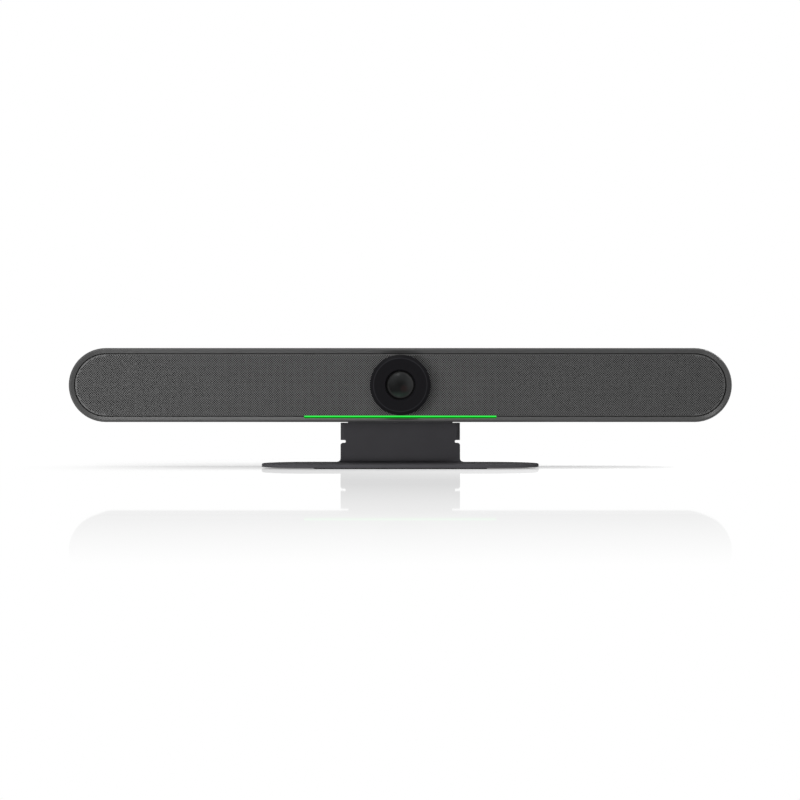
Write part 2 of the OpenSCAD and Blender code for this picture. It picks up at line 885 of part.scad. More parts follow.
module front_bezel() {
    nose = bar_radius - rim_fillet - rim_land;
    color("#4a4a4c") difference() {
        bar_sweep() difference() {
            rounded_start(bar_radius, 0, bezel_depth, rim_fillet);
            polygon([
                [-over, -over], [nose, -over], [nose, 0], [groove_radius, rim_drop],
                [groove_radius, skirt_depth], [shelf_radius, skirt_depth], [shelf_radius, shelf_back],
                [inner_radius, shelf_back], [inner_radius, bezel_depth + over], [-over, bezel_depth + over]
            ]);
        }
        bar_block(
            0, light_length + 2 * light_gap, -over, shelf_back + over,
            light_low - light_gap, light_top + light_gap
        );
        for (place = baffle_screws_at)
            bar_rod(place, tap_radius + thread_gap, shelf_back - tap_bite - slip_gap, shelf_back + over);
    }
}

module grille() {
    color("#4b4b4d") difference() {
        bar_sweep() difference() {
            rounded_start(grille_radius, grille_setback, skirt_depth, grille_edge);
            rounded_start(
                grille_radius - grille_sheet, grille_setback + grille_sheet, skirt_depth + over,
                max(grille_edge - grille_sheet, slip_gap)
            );
        }
        bar_rod([0, 0], neck_radius + part_gap, grille_setback - over, skirt_depth);
    }
}

module acoustic_mesh() {
    color("#161617") bar_plate(grille_setback + grille_sheet, mesh_back) difference() {
        stadium(bar_straight, grille_radius - grille_sheet - slip_gap);
        circle(neck_radius + part_gap);
    }
}

module front_baffle() {
    light_board_high = light_top + light_board_lift;
    color("#242426") difference() {
        union() {
            bar_plate(shelf_back, baffle_back) difference() {
                stadium(bar_straight, inner_radius - baffle_gap);
                for (side = [-1, 1]) translate([side * speaker_x, 0]) circle(cone_radius + part_gap);
                circle(barrel_bore);
                translate([-light_length / 2 - light_board_margin - part_gap, -bar_radius])
                    square([
                        light_length + 2 * (light_board_margin + part_gap),
                        bar_radius + light_board_high + part_gap
                    ]);
            }
            for (place = housing_screws_at) bar_rod(place, boss_radius, shelf_back, post_joint);
            for (side = [-1, 1]) for (rise = [-1, 1])
                bar_block(
                    side * (rib_start + post_x - boss_radius) / 2, post_x - boss_radius - rib_start,
                    baffle_back - slip_gap, baffle_back + rib_height,
                    rise * rib_offset - rib_thick / 2, rise * rib_offset + rib_thick / 2
                );
        }
        for (place = housing_screws_at)
            bar_rod(place, housing_bolt_radius + thread_gap, baffle_back, post_joint + over);
        for (place = baffle_screws_at)
            bar_rod(place, tap_radius + thread_gap, shelf_back - over, baffle_back + over);
        for (place = camera_screws_at)
            bar_rod(place, tap_radius + thread_gap, shelf_back - over, baffle_back + over);
        for (side = [-1, 1]) for (place = speaker_screws_at) translate([side * speaker_x, 0, 0])
            bar_rod(place, tap_radius + thread_gap, shelf_back - over, baffle_back + over);
    }
}

module baffle_screws() {
    color("#2a2a2c") for (place = baffle_screws_at)
        bar_screw(place, baffle_back, tap_head_radius, tap_head_height, tap_radius, baffle_thick + tap_bite);
}

// Camera
module lens_ring() {
    color("#1b1b1d") difference() {
        bar_turned() polygon([
            [ring_radius, grille_setback], [ring_radius, ring_front + bevel_depth],
            [ring_radius - ring_bevel, ring_front], [opening_radius, ring_front],
            [opening_radius - opening_taper, ring_front + opening_depth],
            [barrel_bore, ring_front + opening_depth], [barrel_bore, shelf_back],
            [neck_radius, shelf_back], [neck_radius, grille_setback]
        ]);
        for (place = camera_screws_at)
            bar_rod(
                place, tap_radius + thread_gap, shelf_back - camera_tap_bite - slip_gap, shelf_back + over
            );
    }
}

module lens_barrel() {
    seat = lens_edge_front + lens_edge;
    color("#111112") bar_turned() difference() {
        translate([0, barrel_front]) square([barrel_radius, barrel_length]);
        translate([-over, barrel_front - over])
            square([over + lens_radius + slip_gap, over + seat - barrel_front]);
        translate([-over, seat - slip_gap])
            square([over + lens_radius - lens_seat, inner_lens_front - stop_length - seat + slip_gap]);
        translate([-over, barrel_front])
            square([over + inner_lens_radius - inner_lens_seat, barrel_length]);
        translate([-over, inner_lens_front])
            square([over + inner_lens_radius + slip_gap, barrel_length]);
    }
}

// Radius of a dome of a given half width and height
function dome_radius(half, rise) = (half * half + rise * rise) / (2 * rise);

// Half section of one dome between its rim's depth and its crown; the rise is towards the front
module dome_section(half, rim, rise) {
    radius = dome_radius(half, rise);
    intersection() {
        translate([0, rim - rise]) square([half, rise + slip_gap]);
        translate([0, rim - rise + radius]) circle(radius, $fn = dome_sides);
    }
}

// Half section of a lens with a flat rim and two outward domes
module double_lens_section(radius, front, edge, clear, rise) {
    translate([0, front]) square([radius, edge]);
    dome_section(clear, front, rise);
    translate([0, 2 * front + edge]) mirror([0, 1]) dome_section(clear, front, rise);
}

module front_lens() {
    hollow = lens_dome + lens_edge - lens_centre;
    back = lens_edge_front + lens_edge;
    color("#20262a") bar_turned() difference() {
        union() {
            translate([0, lens_edge_front]) square([lens_radius, lens_edge]);
            dome_section(lens_radius, lens_edge_front, lens_dome);
        }
        dome_section(lens_radius - lens_seat, back, hollow);
    }
}

module middle_lens() {
    color("#27313a") bar_turned() double_lens_section(
        inner_lens_radius, inner_lens_front, inner_lens_edge, inner_lens_clear, inner_lens_bulge
    );
}

module rear_lens() {
    color("#27313a") bar_turned() double_lens_section(
        inner_lens_radius, rear_lens_front, inner_lens_edge, inner_lens_clear, inner_lens_bulge
    );
}

module lens_spacer() {
    color("#111112") bar_turned() translate([inner_lens_radius - spacer_wall, spacer_front])
        square([spacer_wall, spacer_length]);
}

module lens_retainer() {
    color("#111112") bar_turned() translate([inner_lens_radius - spacer_wall, retainer_front])
        square([spacer_wall, retainer_length]);
}

module camera_holder() {
    body_front = septum_front - holder_wall;
    color("#1a1a1b") difference() {
        union() {
            bar_rod([0, 0], holder_flange_radius, baffle_back, baffle_back + holder_flange_thick);
            bar_rod([0, 0], barrel_bore + holder_wall, baffle_back, septum_front);
            bar_plate(body_front, sensor_plane)
                rounded_rectangle(sensor_board_side, sensor_board_side, corner_tap_inset);
        }
        bar_rod([0, 0], barrel_bore, baffle_back - over, septum_front);
        bar_plate(septum_front - over, sensor_plane) square([window_width, window_height], center = true);
        bar_plate(filter_front, sensor_plane + over)
            square([holder_cavity_width, holder_cavity_width], center = true);
        for (place = camera_screws_at) {
            bar_rod(
                place, tap_radius + thread_gap, baffle_back - over, baffle_back + holder_flange_thick + over
            );
            bar_rod(
                place, tap_head_radius + slip_gap, baffle_back + holder_flange_thick, sensor_plane + over
            );
        }
        for (x = [-1, 1]) for (y = [-1, 1])
            bar_rod(
                board_corner * [x, y], tap_radius + thread_gap, sensor_plane - holder_wall, sensor_plane + over
            );
    }
}

module infrared_filter() {
    color("#6a3a44") bar_plate(filter_front, filter_front + filter_thick)
        square([window_width + 2 * filter_margin, window_height + 2 * filter_margin], center = true);
}

module image_sensor() {
    color("#3c4450") bar_plate(sensor_plane - sensor_thick, sensor_plane)
        square([sensor_width, sensor_height], center = true);
}

module camera_board() {
    color("#1f5a3a") bar_plate(sensor_plane, sensor_plane + board_thick) difference() {
        rounded_rectangle(sensor_board_side, sensor_board_side, corner_tap_inset);
        for (x = [-1, 1]) for (y = [-1, 1]) translate(board_corner * [x, y]) circle(tap_radius + slip_gap);
    }
}

module camera_screws() {
    color("#2a2a2c") for (place = camera_screws_at)
        bar_screw(
            place, baffle_back + holder_flange_thick, tap_head_radius, tap_head_height,
            tap_radius, holder_flange_thick + baffle_thick + camera_tap_bite
        );
}

module camera_board_screws() {
    color("#2a2a2c") for (x = [-1, 1]) for (y = [-1, 1])
        bar_screw(
            board_corner * [x, y], sensor_plane + board_thick, tap_head_radius, tap_head_height,
            tap_radius, board_thick + holder_wall - slip_gap
        );
}

// Status light
module light_strip() {
    color("#35f758") bar_block(0, light_length, light_front, light_back, light_low, light_top);
}

module light_board() {
    chip_mid = (light_low + light_top) / 2;
    width = light_length + 2 * light_board_margin;
    color("#1f5a3a") {
        bar_block(
            0, width, shelf_back, shelf_back + light_board_thick,
            -inner_radius + part_gap, light_top + light_board_lift
        );
        for (step = [0:light_count - 1])
            bar_block(
                ((step + 1 / 2) / light_count - 1 / 2) * light_length, chip_width, shelf_back - chip_thick,
                shelf_back + slip_gap, chip_mid - chip_height / 2, chip_mid + chip_height / 2
            );
    }
}

// Speakers, one set on each side

module speaker_frame(side) {
    throat = cone_radius - frame_wall;
    window_length = frame_depth - frame_wall - part_gap - frame_window_rim;
    color("#2b2b2d") translate([side * speaker_x, 0, 0]) difference() {
        union() {
            bar_plate(flange_front, shelf_back) difference() {
                rounded_rectangle(speaker_width, speaker_width, flange_corner);
                circle(throat);
            }
            bar_turned() polygon([
                [throat, flange_front], [cone_radius, flange_front], [cone_radius, shelf_back],
                [frame_waist + frame_wall, frame_back], [coil_outer + coil_gap, frame_back],
                [coil_outer + coil_gap, frame_back - frame_wall], [frame_waist, frame_back - frame_wall],
                [throat, shelf_back]
            ]);
        }
        for (turn = [0:90:270]) in_bar(frame_back - frame_wall - part_gap) rotate([0, 0, turn])
            translate([frame_waist, -frame_window_width / 2, 0])
                cube([cone_radius, frame_window_width, window_length]);
        for (place = speaker_screws_at)
            bar_rod(place, tap_radius + thread_gap, flange_front - over, shelf_back + over);
    }
}

module speaker_cone_part(side) {
    rim = roll_inner - surround_lip;
    cone_back = flange_front + cone_depth;
    cap = dome_radius(coil_outer, cap_rise);
    color("#1d1d1f") translate([side * speaker_x, 0, 0]) bar_turned() {
        polygon([
            [rim, flange_front], [roll_inner, flange_front], [roll_inner, flange_front + cone_wall],
            [rim + cone_wall, flange_front + cone_wall], [coil_outer, cone_back], [coil_inner, cone_back]
        ]);
        translate([coil_inner, cone_back - cone_wall])
            square([cone_wall, frame_back + pole_plate / 2 - cone_back + cone_wall]);
        intersection() {
            translate([0, cone_back - cap_rise - cone_wall]) square([coil_outer, cap_rise + cone_wall]);
            translate([0, cone_back - cap_rise + cap]) difference() {
                circle(cap, $fn = dome_sides);
                circle(cap - cone_wall, $fn = dome_sides);
            }
        }
    }
}

module speaker_surround(side) {
    color("#101011") translate([side * speaker_x, 0, 0]) bar_turned() {
        for (start = [roll_outer - surround_wall, roll_inner - surround_lip])
            translate([start, flange_front - surround_wall])
                square([surround_lip + surround_wall, surround_wall]);
        intersection() {
            translate([roll_inner, flange_front - surround_roll])
                square([2 * surround_roll, surround_roll]);
            translate([(roll_inner + roll_outer) / 2, flange_front]) difference() {
                circle(surround_roll);
                circle(surround_roll - surround_wall);
            }
        }
    }
}

module speaker_magnet(side) {
    bore = coil_outer + coil_gap;
    ring_start = frame_back + pole_plate;
    ring_end = ring_start + magnet_height;
    color("#6e6e70") translate([side * speaker_x, 0, 0]) bar_turned() {
        translate([bore, frame_back]) square([magnet_radius - bore, pole_plate]);
        translate([bore + pole_plate, ring_start - slip_gap])
            square([magnet_radius - bore - pole_plate, magnet_height + 2 * slip_gap]);
        translate([0, ring_end]) square([magnet_radius, pole_plate]);
        translate([0, frame_back]) square([coil_inner - coil_gap, ring_end + pole_plate - frame_back]);
    }
}

module speaker_box(side) {
    color("#2d2d2f") translate([0, bar_front, bar_mid]) difference() {
        side_plate(side * speaker_x, box_width) box_section(box_height / 2, box_back, box_round);
        side_plate(side * speaker_x, box_width - 2 * box_wall)
            translate([-over, 0]) box_section(
                box_height / 2 - box_wall, box_back - box_wall + over, box_round - box_wall + slip_gap
            );
    }
}

// Depth and height section of a speaker box with round back corners
module box_section(half, back, corner) {
    translate([baffle_back, -half]) square([back - corner - baffle_back, 2 * half]);
    translate([baffle_back, -half + corner]) square([back - baffle_back, 2 * (half - corner)]);
    for (side = [-1, 1]) translate([back - corner, side * (half - corner)]) circle(corner);
}

module speaker_screws() {
    color("#2a2a2c") for (side = [-1, 1]) translate([side * speaker_x, 0, 0])
        for (place = speaker_screws_at) {
            bar_rod(place, tap_head_radius, flange_front - tap_head_height, flange_front);
            bar_rod(place, tap_radius, flange_front - slip_gap, baffle_back - slip_gap);
        }
}

// Microphones
module microphone_board(side) {
    color("#1f5a3a") {
        bar_block(
            side * mic_centre, mic_board_length, shelf_back - mic_board_thick, shelf_back,
            mic_rise - mic_board_height / 2, mic_rise + mic_board_height / 2
        );
        for (place = microphones_at(side))
            bar_block(
                place.x, mic_can_width, shelf_back - mic_board_thick - mic_can_thick,
                shelf_back - mic_board_thick + slip_gap,
                mic_rise - mic_can_height / 2, mic_rise + mic_can_height / 2
            );
    }
}

function microphones_at(side) = [
    for (step = [0:mic_count - 1]) [side * mic_centre + (step - (mic_count - 1) / 2) * mic_pitch, mic_rise]
];

module microphone_boots() {
    can_front = shelf_back - mic_board_thick - mic_can_thick;
    color("#19191a") for (side = [-1, 1]) for (place = microphones_at(side)) difference() {
        bar_rod(place, boot_radius, mesh_back, can_front);
        bar_rod(place, boot_hole, mesh_back - over, can_front + over);
    }
}

// Electronics
module main_board() {
    color("#1f5a3a") translate([0, bar_front, bar_mid + board_top - board_thick])
        linear_extrude(board_thick) difference() {
            translate([-board_length / 2, board_front]) square([board_length, board_depth]);
            for (place = board_screws_at) translate(place) circle(board_tap_radius + slip_gap);
        }
}

module on_board(x, width, front, back, low, high) {
    bar_block(x, width, front, back, board_top + low, board_top + high);
}

module processor() {
    color("#161618") on_board(
        sink_x, chip_side, chip_mid_depth - chip_side / 2, chip_mid_depth + chip_side / 2, 0, chip_rise
    );
}

module thermal_pad() {
    color("#8fa3b5") on_board(
        sink_x, chip_side, chip_mid_depth - chip_side / 2, chip_mid_depth + chip_side / 2,
        chip_rise, chip_rise + pad_rise
    );
}

module heat_sink() {
    low = board_top + chip_rise + pad_rise;
    step = (sink_width - sink_fin) / (sink_fins - 1);
    color("#7d7f83") bar_plate(board_front, board_front + sink_depth) {
        translate([sink_x - sink_width / 2, low]) square([sink_width, sink_base]);
        for (fin = [0:sink_fins - 1])
            translate([sink_x - sink_width / 2 + fin * step, low]) square([sink_fin, sink_height]);
    }
}

module board_screws() {
    color("#8a8a8c") for (place = board_screws_at)
        translate([place.x, bar_front + place.y, bar_mid + board_top]) {
            cylinder(h = board_head_height, r = board_head_radius);
            translate([0, 0, slip_gap - board_tap_length])
                cylinder(h = board_tap_length, r = board_tap_radius);
        }
}

// Shell of a socket with its mouth on the recess floor
module socket_shell(x, size, cavity, lift) {
    difference() {
        on_board(recess_shift + x, size.x, recess_floor - size.y, recess_floor, 0, size.z);
        on_board(
            recess_shift + x, cavity.x, recess_floor - cavity.y, recess_floor + over, lift, lift + cavity.z
        );
    }
}

module network_port() {
    color("#b9bcc0") socket_shell(network_place, network_size, network_cavity, network_floor);
}

module tongued_socket(x, size, cavity, tongue) {
    mid = size.z / 2;
    socket_shell(x, size, cavity, mid - cavity.z / 2);
    on_board(
        recess_shift + x, tongue.x, recess_floor - cavity.y - slip_gap, recess_floor - cavity.y + tongue.y,
        mid - tongue.z / 2, mid + tongue.z / 2
    );
}

module video_ports() {
    color("#b9bcc0") for (x = video_places) tongued_socket(x, video_size, video_cavity, video_tongue);
}

module usb_ports() {
    color("#b9bcc0") for (x = usb_places) tongued_socket(x, usb_size, usb_cavity, usb_tongue);
}

module power_jack() {
    place = [recess_shift + power_place, board_top + jack_size.z / 2];
    color("#151516") {
        difference() {
            on_board(place.x, jack_size.x, recess_floor - jack_size.y, recess_floor, 0, jack_size.z);
            bar_rod(place, jack_radius, recess_floor - jack_cavity_depth, recess_floor + over);
        }
        bar_rod(place, jack_pin_radius, recess_floor - jack_cavity_depth - slip_gap, recess_floor - over);
    }
}

module audio_jack() {
    place = [recess_shift + audio_place, board_top + audio_size.z / 2];
    color("#151516") difference() {
        on_board(place.x, audio_size.x, recess_floor - audio_size.y, recess_floor, 0, audio_size.z);
        bar_rod(place, audio_radius, recess_floor - audio_length, recess_floor + over);
    }
}

// Power button
module button_switch() {
    switch_back = plunger_tip - plunger_length;
    color("#151516") {
        on_board(button_x, switch_size.x, switch_back - switch_size.y, switch_back, 0, switch_size.z);
        bar_rod([button_x, button_z], plunger_radius, switch_back - slip_gap, plunger_tip);
    }
}

module power_button() {
    radius = button_diameter / 2;
    face = bar_depth + button_proud;
    edge = button_proud / 2;
    color("#2e2e30") bar_turned(button_x, button_z) polygon([
        [0, face], [radius - edge, face], [radius, face - edge], [radius, button_seat],
        [radius + button_flange, button_seat], [radius + button_flange, button_low],
        [button_stem_radius, button_low], [button_stem_radius, stem_end], [0, stem_end]
    ]);
}

stand_plate();
base_pad();
pivot_screws();
pivot_nuts();
friction_washers();
tilt_cradle();
cradle_screws();
cradle_inserts();
rear_housing();
housing_screws();
front_bezel();
grille();
acoustic_mesh();
front_baffle();
baffle_screws();
lens_ring();
lens_barrel();
front_lens();
middle_lens();
rear_lens();
lens_spacer();
lens_retainer();
camera_holder();
infrared_filter();
image_sensor();
camera_board();
camera_screws();
camera_board_screws();
light_strip();
light_board();
speaker_frame(-1);  // left_speaker_frame
speaker_cone_part(-1);  // left_speaker_cone
speaker_surround(-1);  // left_speaker_surround
speaker_magnet(-1);  // left_speaker_magnet
speaker_box(-1);  // left_speaker_box
speaker_frame(1);  // right_speaker_frame
speaker_cone_part(1);  // right_speaker_cone
speaker_surround(1);  // right_speaker_surround
speaker_magnet(1);  // right_speaker_magnet
speaker_box(1);  // right_speaker_box
speaker_screws();
microphone_board(-1);  // left_microphone_board
microphone_board(1);  // right_microphone_board
microphone_boots();
main_board();
processor();
thermal_pad();
heat_sink();
board_screws();
network_port();
video_ports();
usb_ports();
power_jack();
audio_jack();
button_switch();
power_button();
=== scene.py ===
"""Looks of the conference camera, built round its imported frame. Lengths are in metres."""
import sys
import logging
import math
from dataclasses import dataclass, field
from enum import Enum
from functools import cache
from typing import Sequence

import bmesh
import bpy
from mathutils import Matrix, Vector
from mathutils.geometry import delaunay_2d_cdt


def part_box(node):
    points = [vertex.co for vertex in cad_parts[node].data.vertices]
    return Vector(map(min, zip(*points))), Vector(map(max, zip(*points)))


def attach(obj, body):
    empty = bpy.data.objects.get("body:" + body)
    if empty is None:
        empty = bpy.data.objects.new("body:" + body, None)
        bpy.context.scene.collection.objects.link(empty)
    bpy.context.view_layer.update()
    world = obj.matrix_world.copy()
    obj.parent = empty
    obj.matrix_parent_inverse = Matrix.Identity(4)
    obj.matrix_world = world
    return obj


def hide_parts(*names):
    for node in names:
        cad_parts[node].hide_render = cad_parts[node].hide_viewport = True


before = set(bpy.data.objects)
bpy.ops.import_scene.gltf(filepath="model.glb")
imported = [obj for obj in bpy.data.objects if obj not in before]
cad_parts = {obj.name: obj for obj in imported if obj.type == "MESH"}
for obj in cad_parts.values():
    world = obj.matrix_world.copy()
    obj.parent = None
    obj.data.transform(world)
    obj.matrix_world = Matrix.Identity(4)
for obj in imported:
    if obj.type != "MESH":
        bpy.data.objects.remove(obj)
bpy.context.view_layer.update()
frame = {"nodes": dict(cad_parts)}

MM = 0.001
WELD = 0.002 * MM        # vertices nearer than this become one
SNAP = 0.0005 * MM       # smallest step of the rim's triangulation
Span = tuple[float, float]
Triple = tuple[float, float, float]
Colour = Triple
WHITE: Colour = (1.0, 1.0, 1.0)
EVERYWHERE: Span = (-1.0, 0.0)        # a step over it is 1 from 0 on
log = logging.getLogger("scene")


def grey(level: float, tint: Colour = WHITE) -> Colour:
    """Gives the linear colour of a display grey, by the sRGB curve.

    Args:
        level: Display grey from 0 to 255.
        tint: Factors for red, green and blue.

    Returns:
        The linear colour.
    """
    share = level / 255
    linear = share / 12.92 if share <= 0.04045 else ((share + 0.055) / 1.055) ** 2.4
    return scaled(tint, linear)


def scaled(colour: Colour, factor: float) -> Colour:
    """Gives a colour times a factor."""
    return tuple(part * factor for part in colour)


class Link:
    """A node's output that takes part in Python expressions."""

    def __init__(self, graph: "Graph", socket: bpy.types.NodeSocket | None) -> None:
        """Holds an output.

        Args:
            graph: Graph that the output belongs to.
            socket: The output itself, None for a node without outputs.
        """
        self.graph = graph
        self.socket = socket

    def _math(self, operation: str, *others: "Link | float", flip: bool = False) -> "Link":
        """Adds a Math node.

        Args:
            operation: Name of the Math operation.
            others: The other operands.
            flip: True where this value is the second operand.

        Returns:
            The result.
        """
        values = [*others, self] if flip else [self, *others]
        return self.graph.add("ShaderNodeMath", {"operation": operation}, dict(enumerate(values)))

    def __add__(self, other: "Link | float") -> "Link":
        """Adds a value."""
        return self._math("ADD", other)

    def __radd__(self, other: float) -> "Link":
        """Adds to a value."""
        return self._math("ADD", other)

    def __sub__(self, other: "Link | float") -> "Link":
        """Subtracts a value."""
        return self._math("SUBTRACT", other)

    def __rsub__(self, other: float) -> "Link":
        """Subtracts from a value."""
        return self._math("SUBTRACT", other, flip=True)

    def __mul__(self, other: "Link | float") -> "Link":
        """Multiplies by a value."""
        return self._math("MULTIPLY", other)

    def __rmul__(self, other: float) -> "Link":
        """Multiplies a value."""
        return self._math("MULTIPLY", other)

    def __truediv__(self, other: "Link | float") -> "Link":
        """Divides by a value."""
        return self._math("DIVIDE", other)

    def __mod__(self, other: float) -> "Link":
        """Gives the remainder, never negative."""
        return self._math("FLOORED_MODULO", other)

    def __gt__(self, other: "Link | float") -> "Link":
        """Gives 1 where the value is larger."""
        return self._math("GREATER_THAN", other)

    def __lt__(self, other: "Link | float") -> "Link":
        """Gives 1 where the value is smaller."""
        return self._math("LESS_THAN", other)

    def __abs__(self) -> "Link":
        """Gives the size without its sign."""
        return self._math("ABSOLUTE")

    def root(self) -> "Link":
        """Gives the square root."""
        return self._math("SQRT")

    def whole(self) -> "Link":
        """Gives the nearest whole number."""
        return self._math("ROUND")

    def most(self, other: "Link | float") -> "Link":
        """Gives the larger of two values."""
        return self._math("MAXIMUM", other)

    def least(self, other: "Link | float") -> "Link":
        """Gives the smaller of two values."""
        return self._math("MINIMUM", other)

    def wave(self) -> "Link":
        """Gives the sine of an angle in radians."""
        return self._math("SINE")

    def step(self, low: float, high: float) -> "Link":
        """Rises smoothly from 0 to 1.

        Args:
            low: Value at which it leaves 0.
            high: Value at which it reaches 1.

        Returns:
            The smooth step.
        """
        return self.graph.add(
            "ShaderNodeMapRange", {"interpolation_type": "SMOOTHSTEP"},
            {"Value": self, "From Min": low, "From Max": high},
        )

    def parts(self) -> tuple["Link", "Link", "Link"]:
        """Gives the three parts of a vector."""
        node = self.graph.add("ShaderNodeSeparateXYZ", {}, {0: self}).socket.node
        return tuple(Link(self.graph, output) for output in node.outputs)


class Graph:
    """A node tree that is built from Python expressions."""

    def __init__(self, tree: bpy.types.NodeTree) -> None:
        """Empties a tree.

        Args:
            tree: The tree to build in.
        """
        self.tree = tree
        tree.nodes.clear()

    def add(self, kind: str, settings: dict | None = None, inputs: dict | None = None,
            output: int | str = 0) -> Link:
        """Adds any node.

        Args:
            kind: The node's type.
            settings: Its settings, set first.
            inputs: Values or links by the inputs' names or places.
            output: Name or place of the output that is wanted.

        Returns:
            That output.
        """
        node = self.tree.nodes.new(kind)
        for name, value in (settings or {}).items():
            setattr(node, name, value)
        for name, value in (inputs or {}).items():
            for item in value if isinstance(value, list) else [value]:
                socket = node.inputs[name]
                if isinstance(item, Link):
                    self.tree.links.new(item.socket, socket)
                elif isinstance(item, tuple) and socket.type == "RGBA":
                    socket.default_value = (*item, 1.0)[:4]
                else:
                    socket.default_value = item
        return Link(self, node.outputs[output] if len(node.outputs) else None)

    def blend(self, share: Link | float, low: Link | Colour, high: Link | Colour) -> Link:
        """Blends two colours.

        Args:
            share: Share of the second colour.
            low: First colour.
            high: Second colour.

        Returns:
            The blended colour.
        """
        return self.add("ShaderNodeMix", {"data_type": "RGBA"}, {0: share, 6: low, 7: high}, 2)

    def place(self) -> Link:
        """Gives the place on the object, in metres."""
        return self.add("ShaderNodeTexCoord", output="Object")

    def noise(self, grain: float, detail: float = 2.0, stretch: Triple = (1.0, 1.0, 1.0)) -> Link:
        """Adds a noise pattern.

        Args:
            grain: Size of one grain, in metres.
            detail: Levels of detail.
            stretch: How much longer the grain is along each axis.

        Returns:
            The noise, from 0 to 1.
        """
        cells = self.add("ShaderNodeMapping", {}, {
            "Vector": self.place(), "Scale": tuple(1 / (grain * part) for part in stretch)})
        return self.add("ShaderNodeTexNoise", {}, {"Vector": cells, "Scale": 1.0, "Detail": detail})


Surface = tuple[Link, Link | float, Link | None]


@dataclass(frozen=True)
class Finish:
    """A surface finish that is made of nodes."""

    name: str
    colour: Colour
    rough: float = 0.5
    metal: float = 0.0
    specular: float = 0.5
    mottle: float = 0.08
    mottle_grain: float = 20 * MM

    def surface(self, graph: Graph) -> Surface:
        """Gives what varies over the surface.

        Args:
            graph: Graph of the material.

        Returns:
            The colour, the roughness and the height in metres, or None.
        """
        cloud = graph.noise(self.mottle_grain)
        low, high = (scaled(self.colour, 1 + side * self.mottle) for side in (-1, 1))
        return graph.blend(cloud, low, high), self.rough + (cloud - 0.5) * self.mottle, None

    def extras(self, graph: Graph) -> dict:
        """Gives further sockets of the shader.

        Args:
            graph: Graph of the material.

        Returns:
            Values or links by socket name.
        """
        return {}

    @cache
    def build(self) -> bpy.types.Material:
        """Makes the material, once.

        Returns:
            The material.
        """
        made = bpy.data.materials.new(self.name)
        made.use_nodes = True
        graph = Graph(made.node_tree)
        colour, rough, height = self.surface(graph)
        sockets = {"Base Color": colour, "Roughness": rough, "Metallic": self.metal,
                   "Specular IOR Level": self.specular, **self.extras(graph)}
        if height is not None:
            sockets["Normal"] = graph.add("ShaderNodeBump", {}, {
                "Strength": 1.0, "Distance": 1.0, "Height": height})
        shader = graph.add("ShaderNodeBsdfPrincipled", {}, sockets)
        graph.add("ShaderNodeOutputMaterial", {}, {"Surface": shader})
        made.diffuse_color = (*self.colour, 1)
        return made


@dataclass(frozen=True)
class MouldedPlastic(Finish):
    """Moulded plastic with a spark-eroded or satin grain."""

    grain: float = 0.5 * MM
    depth: float = 0.01 * MM
    detail: float = 3.0
    spread: float = 0.12

    def surface(self, graph: Graph) -> Surface:
        """Gives the mould's grain over a soft mottle.

        Args:
            graph: Graph of the material.

        Returns:
            The colour, the roughness and the height in metres, or None.
        """
        colour, rough, _ = super().surface(graph)
        pits = graph.noise(self.grain, self.detail)
        return colour, rough + (pits - 0.5) * self.spread, pits * self.depth


@dataclass(frozen=True)
class RimmedPlastic(MouldedPlastic):
    """Moulded plastic with painted shade: darker inside the narrow groove round the front."""

    middle: float = 0.0
    half: float = 0.0
    groove: float = 0.0
    front: float = 0.0
    blur: float = 0.3 * MM
    # colour of the painted shade inside the groove
    painted_groove_shade: Colour = (0.004, 0.004, 0.004)

    def surface(self, graph: Graph) -> Surface:
        """Gives the mould's grain, with painted shade inside the groove round the front.

        Args:
            graph: Graph of the material.

        Returns:
            The colour, the roughness and the height in metres, or None.
        """
        colour, rough, height = super().surface(graph)
        x, y, z = graph.place().parts()
        beyond = (abs(x) - self.half).most(0.0)
        up = z - self.middle
        reach = (beyond * beyond + up * up).root()
        inside = 1 - reach.step(self.groove, self.groove + self.blur)
        behind = y.step(self.front, self.front + self.blur)
        # painted shade: the groove is darkened where shade falls, behind the front and inside the
        # groove
        return graph.blend(inside * behind, colour, self.painted_groove_shade), rough, height


@dataclass(frozen=True)
class BevelledPlastic(MouldedPlastic):
    """Moulded ring with a painted highlight: a thin lighter line where its bevel begins."""

    middle: float = 0.0
    bevel: float = 24.1 * MM
    line: float = 0.7 * MM
    painted_highlight: Colour = (0.016, 0.016, 0.018)

    def surface(self, graph: Graph) -> Surface:
        """Gives the mould's grain, with a thin painted highlight along the bevel's edge.

        Args:
            graph: Graph of the material.

        Returns:
            The colour, the roughness and the height in metres, or None.
        """
        colour, rough, height = super().surface(graph)
        x, _, z = graph.place().parts()
        up = z - self.middle
        away = abs((x * x + up * up).root() - self.bevel)
        # painted highlight: a thin lighter line round the bevel's edge
        return graph.blend(1 - away.step(0.0, self.line), colour, self.painted_highlight), rough, height


@dataclass(frozen=True)
class PowderCoat(Finish):
    """Powder coat on steel, with its peel and its fine specks."""

    peel: float = 1.4 * MM
    peel_depth: float = 0.012 * MM
    speck: float = 0.35 * MM
    speck_detail: float = 3.0
    speck_edge: Span = (0.62, 0.72)
    speck_share: float = 0.5
    speck_light: float = 1.5
    spread: float = 0.15

    def surface(self, graph: Graph) -> Surface:
        """Gives the coat's peel, with lighter specks.

        Args:
            graph: Graph of the material.

        Returns:
            The colour, the roughness and the height in metres, or None.
        """
        colour, rough, _ = super().surface(graph)
        peel = graph.noise(self.peel)
        specks = graph.noise(self.speck, self.speck_detail)
        share = specks.step(*self.speck_edge) * self.speck_share
        speckled = graph.blend(share, colour, scaled(self.colour, self.speck_light))
        return speckled, rough + (specks - 0.5) * self.spread, peel * self.peel_depth


